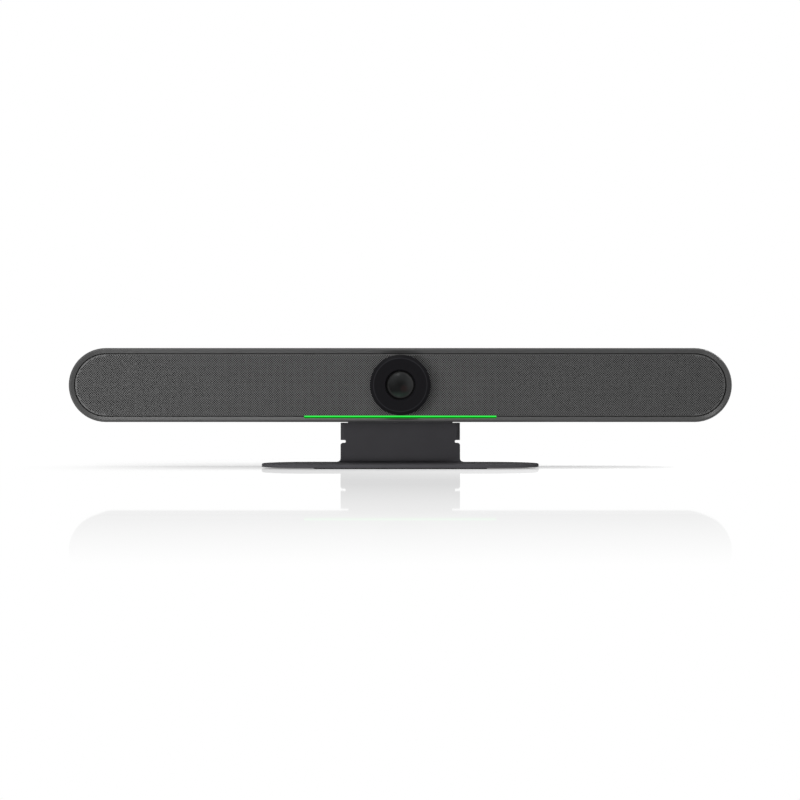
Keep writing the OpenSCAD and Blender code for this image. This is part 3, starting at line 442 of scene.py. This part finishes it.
@dataclass(frozen=True)
class BrushedMetal(Finish):
    """Metal with the marks of brushing or turning along one axis."""

    streak: float = 0.12 * MM
    length: Triple = (30.0, 1.0, 1.0)
    depth: float = 0.002 * MM
    spread: float = 0.25

    def surface(self, graph: Graph) -> Surface:
        """Gives long, fine streaks.

        Args:
            graph: Graph of the material.

        Returns:
            The colour, the roughness and the height in metres, or None.
        """
        colour, rough, _ = super().surface(graph)
        streaks = graph.noise(self.streak, stretch=self.length)
        return colour, rough + (streaks - 0.5) * self.spread, streaks * self.depth


@dataclass(frozen=True)
class WovenCloth(Finish):
    """Open black cloth with a plain weave."""

    thread: float = 0.35 * MM
    depth: float = 0.07 * MM
    shade: float = 0.5

    def surface(self, graph: Graph) -> Surface:
        """Gives threads that cross over and under each other.

        Args:
            graph: Graph of the material.

        Returns:
            The colour, the roughness and the height in metres, or None.
        """
        x, _, z = graph.place().parts()
        turn = math.tau / (2 * self.thread)
        weave = (x * turn).wave() * (z * turn).wave()
        colour = graph.blend(weave * 0.5 + 0.5, scaled(self.colour, self.shade), self.colour)
        return colour, self.rough, weave * self.depth


@dataclass(frozen=True)
class SolderMask(Finish):
    """Circuit board with its tracks under a green mask."""

    track: float = 2.2 * MM
    spacing: float = 0.22
    edge: Span = (0.1, 0.13)
    depth: float = 0.03 * MM
    light: float = 1.7

    def surface(self, graph: Graph) -> Surface:
        """Gives tracks that run along the cells of a grid.

        Args:
            graph: Graph of the material.

        Returns:
            The colour, the roughness and the height in metres, or None.
        """
        cells = graph.add("ShaderNodeTexVoronoi", {"distance": "MANHATTAN", "feature": "F1"}, {
            "Vector": graph.place(), "Scale": 1 / self.track}, "Distance")
        gaps = (cells % self.spacing).step(*self.edge)
        colour = graph.blend(gaps, scaled(self.colour, self.light), self.colour)
        return colour, self.rough, gaps * -self.depth


@dataclass(frozen=True)
class PaintedGlint:
    """Painted reflection: a soft patch on a lens, measured in shares of the lens's radius.

    It shows from the span inner to the span outer round its centre, and where the way along aim
    is past the span turn.
    """

    tint: Colour
    share: float
    outer: Span
    inner: Span = EVERYWHERE
    centre: tuple[float, float] = (0.0, 0.0)
    aim: tuple[float, float] = (0.0, 0.0)
    turn: Span = EVERYWHERE

    def strength(self, across: Link, up: Link) -> Link:
        """Gives how much of the painted reflection's tint shows at a place.

        Args:
            across: Place to the right of the lens's middle.
            up: Place above the lens's middle.

        Returns:
            The strength, from 0 to the glint's share.
        """
        aside, above = across - self.centre[0], up - self.centre[1]
        reach = (aside * aside + above * above).root()
        ring = reach.step(*self.inner) * (1 - reach.step(*self.outer))
        toward = (across * self.aim[0] + up * self.aim[1]).step(*self.turn)
        return ring * toward * self.share


@dataclass(frozen=True)
class CoatedGlass(Finish):
    """Coated lens glass with painted reflections: a lighter rim, a top and a right highlight, a
    green and a red glint.
    """

    centre: float = 0.0
    radius: float = 12 * MM
    # painted reflections: lighter rim, upper right rim, top highlight, right highlight, green
    # below, red near the middle
    painted_glints: tuple[PaintedGlint, ...] = (
        PaintedGlint(grey(66), 0.4, (0.97, 1.0), (0.80, 0.94)),
        PaintedGlint(grey(66), 0.42, (0.97, 1.0), (0.80, 0.94), aim=(1.0, 1.0), turn=(0.5, 1.2)),
        PaintedGlint(grey(52, (0.96, 1.0, 1.02)), 0.4, (0.92, 1.0), (0.0, 0.8), aim=(0.35, 1.0),
              turn=(-0.7, 0.5)),
        PaintedGlint(grey(62), 0.22, (0.93, 1.0), aim=(1.0, 0.0), turn=(0.3, 0.75)),
        PaintedGlint(grey(44, (0.75, 1.3, 1.0)), 0.55, (0.8, 0.98), aim=(0.0, -1.0), turn=(0.35, 0.85)),
        PaintedGlint(grey(28, (1.9, 0.85, 0.8)), 0.35, (0.05, 0.42), centre=(0.3, -0.28)),
    )

    def surface(self, graph: Graph) -> Surface:
        """Gives the painted reflections round the lens's middle.

        Args:
            graph: Graph of the material.

        Returns:
            The colour, the roughness and no height.
        """
        x, _, z = graph.place().parts()
        across, up = x / self.radius, (z - self.centre) / self.radius
        colour = self.colour
        for glint in self.painted_glints:
            # each patch blends a painted reflection into the colour
            colour = graph.blend(glint.strength(across, up), colour, glint.tint)
        return colour, self.rough, None


@dataclass(frozen=True)
class LitDiffuser(Finish):
    """Lit plastic light guide, brighter along its upper part."""

    low: float = 0.0
    high: float = 0.0
    bright: Colour = (0.036, 0.90, 0.092)
    dim: Colour = (0.0, 0.22, 0.0)
    turn: Span = (0.53, 0.60)

    def extras(self, graph: Graph) -> dict:
        """Gives the light, brighter above.

        Args:
            graph: Graph of the material.

        Returns:
            The emission's sockets.
        """
        _, _, z = graph.place().parts()
        share = ((z - self.low) / (self.high - self.low)).step(*self.turn)
        colour = graph.blend(share, self.dim, self.bright)
        return {"Emission Color": colour, "Emission Strength": 1.0}


class Body(Enum):
    """Bodies of the frame."""

    STAND = "stand"
    BAR = "bar"
    BUTTON = "button"


@dataclass
class Finishes:
    """Every finish of the object, by what it is used for."""

    groove_width: float = 0.9 * MM
    groove_drop: float = 1.5 * MM
    by_node: dict[str, Finish] = field(init=False)

    def __post_init__(self) -> None:
        """Takes places from the frame and lists every node's finish."""
        self.strip_low, self.strip_high = (corner.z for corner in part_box("light_strip"))
        low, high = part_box("grille")
        self.middle = (low.z + high.z) / 2
        self.bar_half = (high.x - low.x - high.z + low.z) / 2
        self.groove = (high.z - low.z) / 2 + self.groove_width
        self.groove_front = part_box("front_bezel")[0].y + self.groove_drop
        self.by_node = {node: finish for finish, nodes in self.uses().items() for node in nodes}

    def uses(self) -> dict[Finish, tuple[str, ...]]:
        """Says which nodes have which finish.

        Returns:
            Names of nodes by finish.
        """
        coat = PowderCoat("stand_coat", grey(62, (1.0, 0.98, 1.06)), 0.7, specular=0.02)
        screws = BrushedMetal("black_oxide", grey(40), 0.42, 0.6, length=(1.0, 1.0, 8.0))
        steel = BrushedMetal("washer_steel", grey(150), 0.32, 1.0)
        shell = MouldedPlastic("spark_plastic", grey(62), 0.55, specular=0.35)
        baffle = MouldedPlastic("inner_plastic", grey(38), 0.6, specular=0.35)
        board = SolderMask("solder_mask", (0.012, 0.085, 0.035), 0.3, specular=0.5)
        barrel = BrushedMetal("barrel_black", grey(7), 0.6, 0.0, 0.05, length=(1.0, 1.0, 1.0))
        # the inner lenses carry the same painted reflections
        inner = CoatedGlass("inner_glass", grey(26, (0.9, 1.0, 1.1)), 0.06, centre=self.middle)
        plug = BrushedMetal("socket_shell", grey(196), 0.26, 1.0, length=(1.0, 20.0, 1.0))
        jack = MouldedPlastic("black_nylon", grey(30), 0.45)
        frame_steel = PowderCoat("speaker_frame", grey(44), 0.5)
        cone = MouldedPlastic("pressed_paper", grey(34), 0.8, specular=0.2, grain=1.1 * MM,
                              depth=0.04 * MM)
        rubber = MouldedPlastic("matt_rubber", grey(28), 0.7, specular=0.25, grain=0.8 * MM)
        magnet = BrushedMetal("plated_iron", grey(112), 0.45, 0.9)
        box = MouldedPlastic("speaker_box", grey(46), 0.6, grain=0.7 * MM)
        grip = MouldedPlastic("grip_rubber", grey(18), 0.85, specular=0.05, grain=0.9 * MM,
                              depth=0.03 * MM)
        # the bezel carries painted shade inside its groove
        rim = RimmedPlastic("satin_plastic", grey(57), 0.4, specular=0.35, grain=0.35 * MM,
                            depth=0.004 * MM, middle=self.middle, half=self.bar_half,
                            groove=self.groove, front=self.groove_front)
        sheet = MouldedPlastic("painted_sheet", grey(84), 0.6, 0.0, 0.2, grain=0.3 * MM,
                               depth=0.003 * MM)
        ring = BevelledPlastic("ring_black", grey(17, (1.0, 0.97, 1.12)), 0.45, specular=0.04,
                               mottle=0.04, grain=0.3 * MM, depth=0.002 * MM, middle=self.middle)
        glass = CoatedGlass("front_glass", grey(9, (0.95, 1.0, 1.0)), 0.2, specular=0.08,
                            centre=self.middle)
        guide = LitDiffuser("light_guide", (0.0, 0.03, 0.002), 0.4, specular=0.05,
                            low=self.strip_low, high=self.strip_high)
        sink = BrushedMetal("sink_aluminium", grey(168), 0.38, 1.0, length=(1.0, 25.0, 1.0))
        return {
            coat: ("stand_plate", "tilt_cradle"),
            grip: ("base_pad",),
            screws: ("pivot_screws", "cradle_screws", "housing_screws", "baffle_screws",
                     "camera_screws", "camera_board_screws", "speaker_screws"),
            steel: ("pivot_nuts", "friction_washers", "board_screws"),
            BrushedMetal("turned_brass", (0.55, 0.36, 0.12), 0.35, 1.0): ("cradle_inserts",),
            shell: ("rear_housing",),
            rim: ("front_bezel",),
            sheet: ("grille",),
            WovenCloth("woven_cloth", grey(14), 0.9, specular=0.02): ("acoustic_mesh",),
            baffle: ("front_baffle", "camera_holder"),
            ring: ("lens_ring",),
            barrel: ("lens_barrel", "lens_spacer", "lens_retainer"),
            glass: ("front_lens",),
            inner: ("middle_lens", "rear_lens"),
            Finish("red_filter", (0.25, 0.03, 0.05), 0.08): ("infrared_filter",),
            BrushedMetal("sensor_glass", (0.03, 0.035, 0.07), 0.12, 0.3): ("image_sensor",),
            board: ("camera_board", "light_board", "left_microphone_board",
                    "right_microphone_board", "main_board"),
            guide: ("light_strip",),
            frame_steel: ("left_speaker_frame", "right_speaker_frame"),
            cone: ("left_speaker_cone", "right_speaker_cone"),
            rubber: ("left_speaker_surround", "right_speaker_surround", "microphone_boots"),
            magnet: ("left_speaker_magnet", "right_speaker_magnet"),
            box: ("left_speaker_box", "right_speaker_box"),
            MouldedPlastic("chip_resin", grey(30), 0.5): ("processor",),
            Finish("thermal_pad", (0.2, 0.3, 0.42), 0.7): ("thermal_pad",),
            sink: ("heat_sink",),
            plug: ("network_port", "video_ports", "usb_ports"),
            jack: ("power_jack", "audio_jack", "button_switch"),
            MouldedPlastic("button_cap", grey(46), 0.4): ("power_button",),
        }

    def dress(self, nodes: dict[str, bpy.types.Object]) -> None:
        """Gives each CAD node its material.

        Args:
            nodes: The frame's objects by name.
        """
        for name, node in nodes.items():
            material = self.by_node[name].build()
            node.data.materials.clear()
            node.data.materials.append(material)


@dataclass
class PerforatedGrille:
    """Grille sheet with its staggered holes, rolled edge and skirt."""

    finish: Finish
    rows_to_edge: int = 26
    hole: float = 1.15 * MM
    sheet: float = 0.8 * MM
    edge: float = 1.1 * MM
    corner_space: float = 0.3 * MM
    hole_sides: int = 10
    panels: int = 5
    roll_steps: int = 4
    end_steps: int = 96
    neck: float = 23.3 * MM
    neck_steps: int = 96
    reach_share: float = 0.999
    wall_share: float = 1.04

    def __post_init__(self) -> None:
        """Takes the grille's size and place from the frame."""
        low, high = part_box("grille")
        self.front, self.back = low.y, high.y
        self.middle = (low.z + high.z) / 2
        self.radius = (high.z - low.z) / 2
        self.half = (high.x - low.x) / 2 - self.radius
        self.join = self.radius - self.corner_space
        self.pitch = 2 * self.join / self.rows_to_edge
        self.reach = self.join - self.pitch / 2 * self.reach_share
        self.keep_out = self.neck + self.pitch

    def distance(self, x: float, z: float) -> float:
        """Gives the distance from the grille's long middle line.

        Args:
            x: Place along the bar.
            z: Height over the bar's middle.

        Returns:
            The distance.
        """
        return math.hypot(max(abs(x) - self.half, 0.0), z)

    def drop(self, distance: float) -> float:
        """Gives how far the sheet rolls back at a distance from its middle line.

        Args:
            distance: Distance from the middle line.

        Returns:
            Depth behind the front face.
        """
        over = min(max(distance - self.radius + self.edge, 0.0), self.edge)
        return self.edge - math.sqrt(self.edge ** 2 - over ** 2)

    def tree(self, material: bpy.types.Material) -> bpy.types.NodeTree:
        """Builds the tree that perforates one panel of the sheet.

        Args:
            material: Material of the sheet.

        Returns:
            The tree.
        """
        tree = bpy.data.node_groups.new("perforated_panel", "GeometryNodeTree")
        graph = Graph(tree)
        tree.interface.new_socket("Geometry", in_out="OUTPUT", socket_type="NodeSocketGeometry")
        for name in ("Pitch", "Hole Radius", "Sheet", "Half Length", "Reach", "Keep Out", "From",
                     "To", "Flat Radius", "Edge"):
            tree.interface.new_socket(name, in_out="INPUT", socket_type="NodeSocketFloat")
        for name in ("Columns", "Rows", "Sides"):
            tree.interface.new_socket(name, in_out="INPUT", socket_type="NodeSocketInt")
        group = tree.nodes.new("NodeGroupInput")
        value = {socket.name: Link(graph, socket) for socket in group.outputs if socket.name}
        pitch, sheet, edge = value["Pitch"], value["Sheet"], value["Edge"]

        side = pitch / math.sqrt(2)
        square = graph.add("GeometryNodeCurvePrimitiveQuadrilateral", {}, {
            "Width": side, "Height": side})
        square = graph.add("GeometryNodeTransform", {}, {
            "Geometry": square, "Rotation": (0.0, 0.0, math.pi / 4)})
        circle = graph.add("GeometryNodeCurvePrimitiveCircle", {}, {
            "Resolution": value["Sides"], "Radius": value["Hole Radius"]})
        outline = graph.add("GeometryNodeJoinGeometry", {}, {0: [circle, square]})
        plate = graph.add("GeometryNodeFillCurve", {"mode": "TRIANGLES"}, {"Curve": outline})
        offset = graph.add("ShaderNodeCombineXYZ", {}, {"Z": 0 - sheet})
        walls = graph.add("GeometryNodeExtrudeMesh", {"mode": "FACES"}, {
            "Mesh": plate, "Offset": offset, "Offset Scale": 1.0, "Individual": False})
        sides = Link(graph, walls.socket.node.outputs["Side"])
        x, y, _ = graph.add("GeometryNodeInputPosition").parts()
        outside = ((x * x + y * y).root() > value["Hole Radius"] * self.wall_share) * sides
        walls = graph.add("GeometryNodeDeleteGeometry", {"domain": "FACE"}, {
            "Geometry": walls, "Selection": outside})
        walls = graph.add("GeometryNodeFlipFaces", {}, {"Mesh": walls})
        cell = graph.add("GeometryNodeJoinGeometry", {}, {0: [walls, plate]})

        columns, rows = value["Columns"], value["Rows"]
        grid = graph.add("GeometryNodeMeshGrid", {}, {
            "Size X": (columns - 1) * pitch, "Size Y": (rows - 1) * pitch * 0.5,
            "Vertices X": columns, "Vertices Y": rows})
        x, y, _ = graph.add("GeometryNodeInputPosition").parts()
        row = (y / (pitch * 0.5)).whole() % 2.0
        shift = graph.add("ShaderNodeCombineXYZ", {}, {"X": row * pitch * 0.5})
        grid = graph.add("GeometryNodeSetPosition", {}, {"Geometry": grid, "Offset": shift})
        x, y, _ = graph.add("GeometryNodeInputPosition").parts()
        beyond = (abs(x) - value["Half Length"]).most(0.0)
        outer = (beyond * beyond + y * y).root() > value["Reach"]
        inner = (x * x + y * y).root() < value["Keep Out"]
        other = (x < value["From"]).most(x > value["To"])
        grid = graph.add("GeometryNodeDeleteGeometry", {"domain": "POINT"}, {
            "Geometry": grid, "Selection": outer.most(inner).most(other)})
        perforated = graph.add("GeometryNodeInstanceOnPoints", {}, {
            "Points": grid, "Instance": cell})
        perforated = graph.add("GeometryNodeRealizeInstances", {}, {"Geometry": perforated})
        perforated = graph.add("GeometryNodeMergeByDistance", {}, {
            "Geometry": perforated, "Distance": WELD})
        x, y, _ = graph.add("GeometryNodeInputPosition").parts()
        beyond = (abs(x) - value["Half Length"]).most(0.0)
        over = ((beyond * beyond + y * y).root() - value["Flat Radius"]).most(0.0).least(edge)
        drop = (edge * edge - over * over).root() - edge
        rolled = graph.add("ShaderNodeCombineXYZ", {}, {"Z": drop})
        perforated = graph.add("GeometryNodeSetPosition", {}, {
            "Geometry": perforated, "Offset": rolled})
        perforated = graph.add("GeometryNodeTransform", {}, {
            "Geometry": perforated, "Translation": (0.0, self.front, self.middle),
            "Rotation": (math.pi / 2, 0.0, 0.0)})
        perforated = graph.add("GeometryNodeSetMaterial", {}, {
            "Geometry": perforated, "Material": material})
        graph.add("NodeGroupOutput", {}, {0: perforated})
        return tree

    def panel(self, tree: bpy.types.NodeTree, number: int) -> bpy.types.Object:
        """Makes one panel as a plain mesh.

        Args:
            tree: The perforating tree.
            number: Number of the panel, from the left.

        Returns:
            The panel.
        """
        span = 2 * (self.half + self.radius) / self.panels
        start = -self.half - self.radius + number * span
        columns = 2 * math.ceil((self.half + self.radius) / self.pitch) + 1
        rows = 2 * math.ceil(2 * self.radius / self.pitch) + 1
        sizes = {
            "Pitch": self.pitch, "Hole Radius": self.hole / 2, "Sheet": self.sheet,
            "Half Length": self.half, "Reach": self.reach, "Keep Out": self.keep_out,
            "From": start, "To": start + span, "Flat Radius": self.radius - self.edge,
            "Edge": self.edge, "Columns": columns, "Rows": rows, "Sides": self.hole_sides,
        }
        holder = linked("panel", bpy.data.meshes.new("panel"))
        modifier = holder.modifiers.new("perforate", "NODES")
        modifier.node_group = tree
        for item in tree.interface.items_tree:
            if item.in_out == "INPUT":
                modifier[item.identifier] = sizes[item.name]
        return plain(holder, f"grille_panel_{number + 1}")

    def border(self) -> bpy.types.Object:
        """Makes the rim between the holes and the sheet's edge, with its rolled edge and skirt.

        Returns:
            The rim.
        """
        half_pitch = self.pitch / 2
        across = math.ceil((self.half + self.radius) / half_pitch)
        up = math.ceil(self.radius / half_pitch)
        cells = set()
        for i in range(-across, across + 1):
            for j in range(-up, up + 1):
                x, z = i * half_pitch, j * half_pitch
                within = self.distance(x, z) <= self.reach and math.hypot(x, z) >= self.keep_out
                if (i + j) % 2 == 0 and within:
                    cells.add((i, j))
        corner_edges = []
        for i, j in cells:
            for di, dj in ((1, 1), (-1, 1), (-1, -1), (1, -1)):
                if (i + di, j + dj) not in cells:
                    corner_edges.append(((i + di, j), (i, j + dj)))
        bm = bmesh.new()
        for depth, back in ((0.0, False), (self.sheet, True)):
            self._fill(bm, cells, corner_edges, depth, back)
        self._skirt(bm)
        bmesh.ops.remove_doubles(bm, verts=bm.verts, dist=WELD)
        return placed(bm, "grille_rim", self.finish.build())

    def _neck_loop(self) -> list[tuple[float, float]]:
        """Gives the loop round the neck.

        Returns:
            Places along the bar and heights over its middle.
        """
        return [(self.neck * math.cos(turn), self.neck * math.sin(turn))
                for turn in steps(0, math.tau, self.neck_steps)]

    def _stadium(self, radius: float) -> list[tuple[float, float]]:
        """Gives a stadium's outline.

        Args:
            radius: Radius of the stadium's ends.

        Returns:
            Places along the bar and heights over its middle.
        """
        count = self.end_steps
        places = []
        for side, start in ((1, -math.pi / 2), (-1, math.pi / 2)):
            for step in range(count + 1):
                turn = start + math.pi * step / count
                places.append((side * self.half + radius * math.cos(turn), radius * math.sin(turn)))
        return places

    def _fill(self, bm: bmesh.types.BMesh, cells: set, corner_edges: list, depth: float,
              back: bool) -> None:
        """Fills the plate between the holes' cells, the join and the neck.

        Args:
            bm: Mesh to add to.
            cells: The cells that have a hole.
            corner_edges: The cells' open sides, as pairs of corners.
            depth: Depth behind the front face.
            back: True for the face that looks back.
        """
        half_pitch = self.pitch / 2
        places = [Vector(place) for place in self._stadium(self.join) + self._neck_loop()]
        count = len(places) - self.neck_steps
        edges = [(k, (k + 1) % count) for k in range(count)]
        edges += [(count + k, count + (k + 1) % self.neck_steps) for k in range(self.neck_steps)]
        corners: dict[tuple[int, int], int] = {}
        for pair in corner_edges:
            for i, j in pair:
                if (i, j) not in corners:
                    corners[(i, j)] = len(places)
                    places.append(Vector((i * half_pitch, j * half_pitch)))
            edges.append(tuple(corners[corner] for corner in pair))
        flat, _, faces, *_ = delaunay_2d_cdt(places, edges, [], 0, SNAP)
        front = self.front + depth
        made = [bm.verts.new((x, front + self.drop(self.distance(x, z)), self.middle + z))
                for x, z in flat]
        for face in faces:
            x, z = sum((flat[k] for k in face), Vector((0, 0))) / len(face)
            first, second = round((x + z) / self.pitch), round((x - z) / self.pitch)
            holed = (first + second, first - second) in cells
            if not holed and math.hypot(x, z) > self.neck * math.cos(math.pi / self.neck_steps):
                a, b, c = (flat[k] for k in face)
                ahead = (b - a).cross(c - a) > 0
                bm.faces.new([made[k] for k in (face if ahead != back else face[::-1])])

    def _skirt(self, bm: bmesh.types.BMesh) -> None:
        """Adds the rolled edge, the skirt and the wall round the neck.

        Args:
            bm: Mesh to add to.
        """
        start = math.asin((self.edge - self.corner_space) / self.edge)
        profile = []
        for step in range(self.roll_steps + 1):
            turn = start + (math.pi / 2 - start) * step / self.roll_steps
            profile.append((self.radius - self.edge + self.edge * math.sin(turn),
                            self.front + self.edge * (1 - math.cos(turn))))
        profile += [(self.radius, self.back), (self.join, self.back),
                    (self.join, self.front + self.sheet + self.drop(self.join))]
        rings = [[bm.verts.new((x, y, self.middle + z)) for x, z in self._stadium(radius)]
                 for radius, y in reversed(profile)]
        bridge(bm, rings)
        neck = [[bm.verts.new((x, y, self.middle + z)) for x, z in self._neck_loop()]
                for y in (self.front, self.front + self.sheet)]
        bridge(bm, neck)

    def build(self) -> list[bpy.types.Object]:
        """Makes the whole grille in place of its plain solid.

        Returns:
            The panels and the rim.
        """
        tree = self.tree(self.finish.build())
        pieces = [self.panel(tree, number) for number in range(self.panels)]
        pieces.append(self.border())
        for piece in pieces:
            ride(piece, Body.BAR)
        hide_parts("grille")
        return pieces


def steps(start: float, end: float, count: int) -> list[float]:
    """Divides a range evenly, without its end.

    Args:
        start: First value.
        end: Value after the last.
        count: Number of values.

    Returns:
        The values.
    """
    return [start + (end - start) * step / count for step in range(count)]


def linked(name: str, data: bpy.types.ID) -> bpy.types.Object:
    """Adds an object to the scene.

    Args:
        name: Name of the object.
        data: Its mesh, lamp or camera.

    Returns:
        The object, at the origin.
    """
    made = bpy.data.objects.new(name, data)
    bpy.context.scene.collection.objects.link(made)
    return made


def bridge(bm: bmesh.types.BMesh, rings: Sequence[Sequence[bmesh.types.BMVert]]) -> None:
    """Joins closed rings with quads.

    Args:
        bm: Mesh to add to.
        rings: Rings with as many vertices each, in order.
    """
    for first, second in zip(rings, rings[1:]):
        for k in range(len(first)):
            n = (k + 1) % len(first)
            bm.faces.new((first[k], first[n], second[n], second[k]))


def plain(holder: bpy.types.Object, name: str) -> bpy.types.Object:
    """Turns an object's evaluated shape into a plain mesh.

    Args:
        holder: Object with its modifier, which is removed.
        name: Name of the new object.

    Returns:
        The new object, at the origin.
    """
    graph = bpy.context.evaluated_depsgraph_get()
    mesh = bpy.data.meshes.new_from_object(holder.evaluated_get(graph))
    bpy.data.objects.remove(holder)
    for slot in reversed(range(len(mesh.materials))):
        if mesh.materials[slot] is None:
            mesh.materials.pop(index=slot)
    mesh.name = name
    return linked(name, mesh)


def placed(bm: bmesh.types.BMesh, name: str, material: bpy.types.Material) -> bpy.types.Object:
    """Makes an object of a mesh under construction.

    Args:
        bm: The mesh, which is freed.
        name: Name of the object.
        material: Its material.

    Returns:
        The object, at the origin.
    """
    mesh = bpy.data.meshes.new(name)
    bm.to_mesh(mesh)
    bm.free()
    mesh.materials.append(material)
    return linked(name, mesh)


def ride(piece: bpy.types.Object, body: Body) -> None:
    """Sets a piece on its body and logs its triangles.

    Args:
        piece: The piece.
        body: Body that it moves with.
    """
    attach(piece, body.value)
    triangles = sum(len(face.vertices) - 2 for face in piece.data.polygons)
    log.info("%s: %d triangles on %s", piece.name, triangles, body.value)


@dataclass(frozen=True)
class Lamp:
    """A soft white lamp; a hidden one is left out of reflections."""

    name: str
    place: Triple
    size: tuple[float, float]
    power: float
    aim: Triple = (0.0, 0.0, 0.06)
    hidden: bool = False

    def build(self) -> bpy.types.Object:
        """Makes the lamp.

        Returns:
            The lamp's object.
        """
        data = bpy.data.lights.new(self.name, "AREA")
        data.shape = "RECTANGLE"
        data.size, data.size_y = self.size
        data.energy = self.power
        made = linked(self.name, data)
        made.location = self.place
        made.visible_glossy = not self.hidden
        made.visible_camera = False
        path = Vector(self.aim) - Vector(self.place)
        made.rotation_euler = path.to_track_quat("-Z", "Y").to_euler()
        return made


@dataclass
class Studio:
    """Floor, light and camera."""

    camera_place: Triple = (-0.00027, -1.924, 0.0614)
    lens: float = 94.68
    sensor: float = 36.0
    clip: Span = (0.05, 200.0)
    floor_half: float = 30.0
    ambient: float = 0.25
    floor_albedo: float = 0.6
    floor_glow: float = 0.32
    shade_near: float = 0.13
    shade_far: float = 0.36
    mirror_share: float = 0.305
    mirror_end: float = 1.14
    mirror_full: float = 0.40
    mirror_rough: float = 0.02
    lamps: tuple[Lamp, ...] = (
        Lamp("front_lamp", (-0.2, -2.3, 0.065), (2.4, 0.11), 22.5, hidden=True),
        Lamp("high_lamp", (-0.5, -1.3, 1.7), (0.9, 0.6), 16.0),
        Lamp("left_lamp", (-0.75, -0.58, 0.065), (0.3, 0.1), 5.2, (0.0, 0.0, 0.065), hidden=True),
        Lamp("right_lamp", (0.6, -0.02, 0.35), (0.15, 0.15), 2.0, (0.1, -0.04, 0.0), hidden=True),
        Lamp("top_lamp", (0.9, 0.35, 1.0), (0.6, 0.6), 16.0),
    )

    def sky(self) -> None:
        """Lights the scene evenly and shows white behind the object."""
        world = bpy.data.worlds.new("studio")
        bpy.context.scene.world = world
        world.use_nodes = True
        graph = Graph(world.node_tree)
        strength = self.ambient + (1 - self.ambient) * self.seen(graph)
        light = graph.add("ShaderNodeBackground", {}, {"Color": WHITE, "Strength": strength})
        graph.add("ShaderNodeOutputWorld", {}, {"Surface": light})

    @staticmethod
    def seen(graph: Graph) -> Link:
        """Gives 1 for rays that show the background rather than light the object.

        Args:
            graph: Graph to add to.

        Returns:
            The mask.
        """
        path = graph.add("ShaderNodeLightPath", output="Is Camera Ray")
        names = ("Is Glossy Ray", "Is Transmission Ray")
        glossy, through = (Link(graph, path.socket.node.outputs[name]) for name in names)
        return path.most(glossy).most(through)

    def floor(self) -> bpy.types.Object:
        """Makes the floor, white, with a faint mirror near the object.

        Returns:
            The floor.
        """
        half = self.floor_half
        bm = bmesh.new()
        corners = ((-half, -half), (half, -half), (half, half), (-half, half))
        bm.faces.new([bm.verts.new((x, y, 0.0)) for x, y in corners])
        material = bpy.data.materials.new("floor")
        material.use_nodes = True
        graph = Graph(material.node_tree)
        x, y, _ = graph.place().parts()
        matt = graph.add("ShaderNodeBsdfDiffuse", {}, {"Color": (self.floor_albedo,) * 3})
        glow = graph.add("ShaderNodeEmission", {}, {
            "Color": WHITE, "Strength": self.floor_glow * self.seen(graph)})
        near = graph.add("ShaderNodeAddShader", {}, {0: matt, 1: glow})
        far = graph.add("ShaderNodeEmission", {}, {"Color": WHITE, "Strength": self.seen(graph)})
        fade = (x * x + y * y).root().step(self.shade_near, self.shade_far)
        base = graph.add("ShaderNodeMixShader", {}, {0: fade, 1: near, 2: far})
        mirror = graph.add("ShaderNodeBsdfGlossy", {}, {
            "Color": WHITE, "Roughness": self.mirror_rough})
        rise = (self.mirror_end - abs(y)) / (self.mirror_end - self.mirror_full)
        mixed = graph.add("ShaderNodeMixShader", {}, {
            0: rise.most(0.0).least(1.0) * self.mirror_share, 1: base, 2: mirror})
        graph.add("ShaderNodeOutputMaterial", {}, {"Surface": mixed})
        made = placed(bm, "floor", material)
        return made

    def camera(self) -> None:
        """Sets the camera where the photo was taken from."""
        data = bpy.data.cameras.new("camera")
        data.lens, data.sensor_width = self.lens, self.sensor
        data.clip_start, data.clip_end = self.clip
        made = linked("camera", data)
        made.location = self.camera_place
        made.rotation_euler = (math.pi / 2, 0, 0)
        bpy.context.scene.camera = made

    def build(self) -> None:
        """Makes everything round the object."""
        self.sky()
        self.floor()
        for lamp in self.lamps:
            lamp.build()
        self.camera()
        bpy.context.scene.view_settings.view_transform = "Standard"


def main() -> None:
    """Builds the looks."""
    logging.basicConfig(level=logging.INFO, format="%(message)s", stream=sys.stdout)
    finishes = Finishes()
    finishes.dress(frame["nodes"])
    PerforatedGrille(finishes.by_node["grille"]).build()
    Studio().build()


if __name__ == "__main__":
    main()
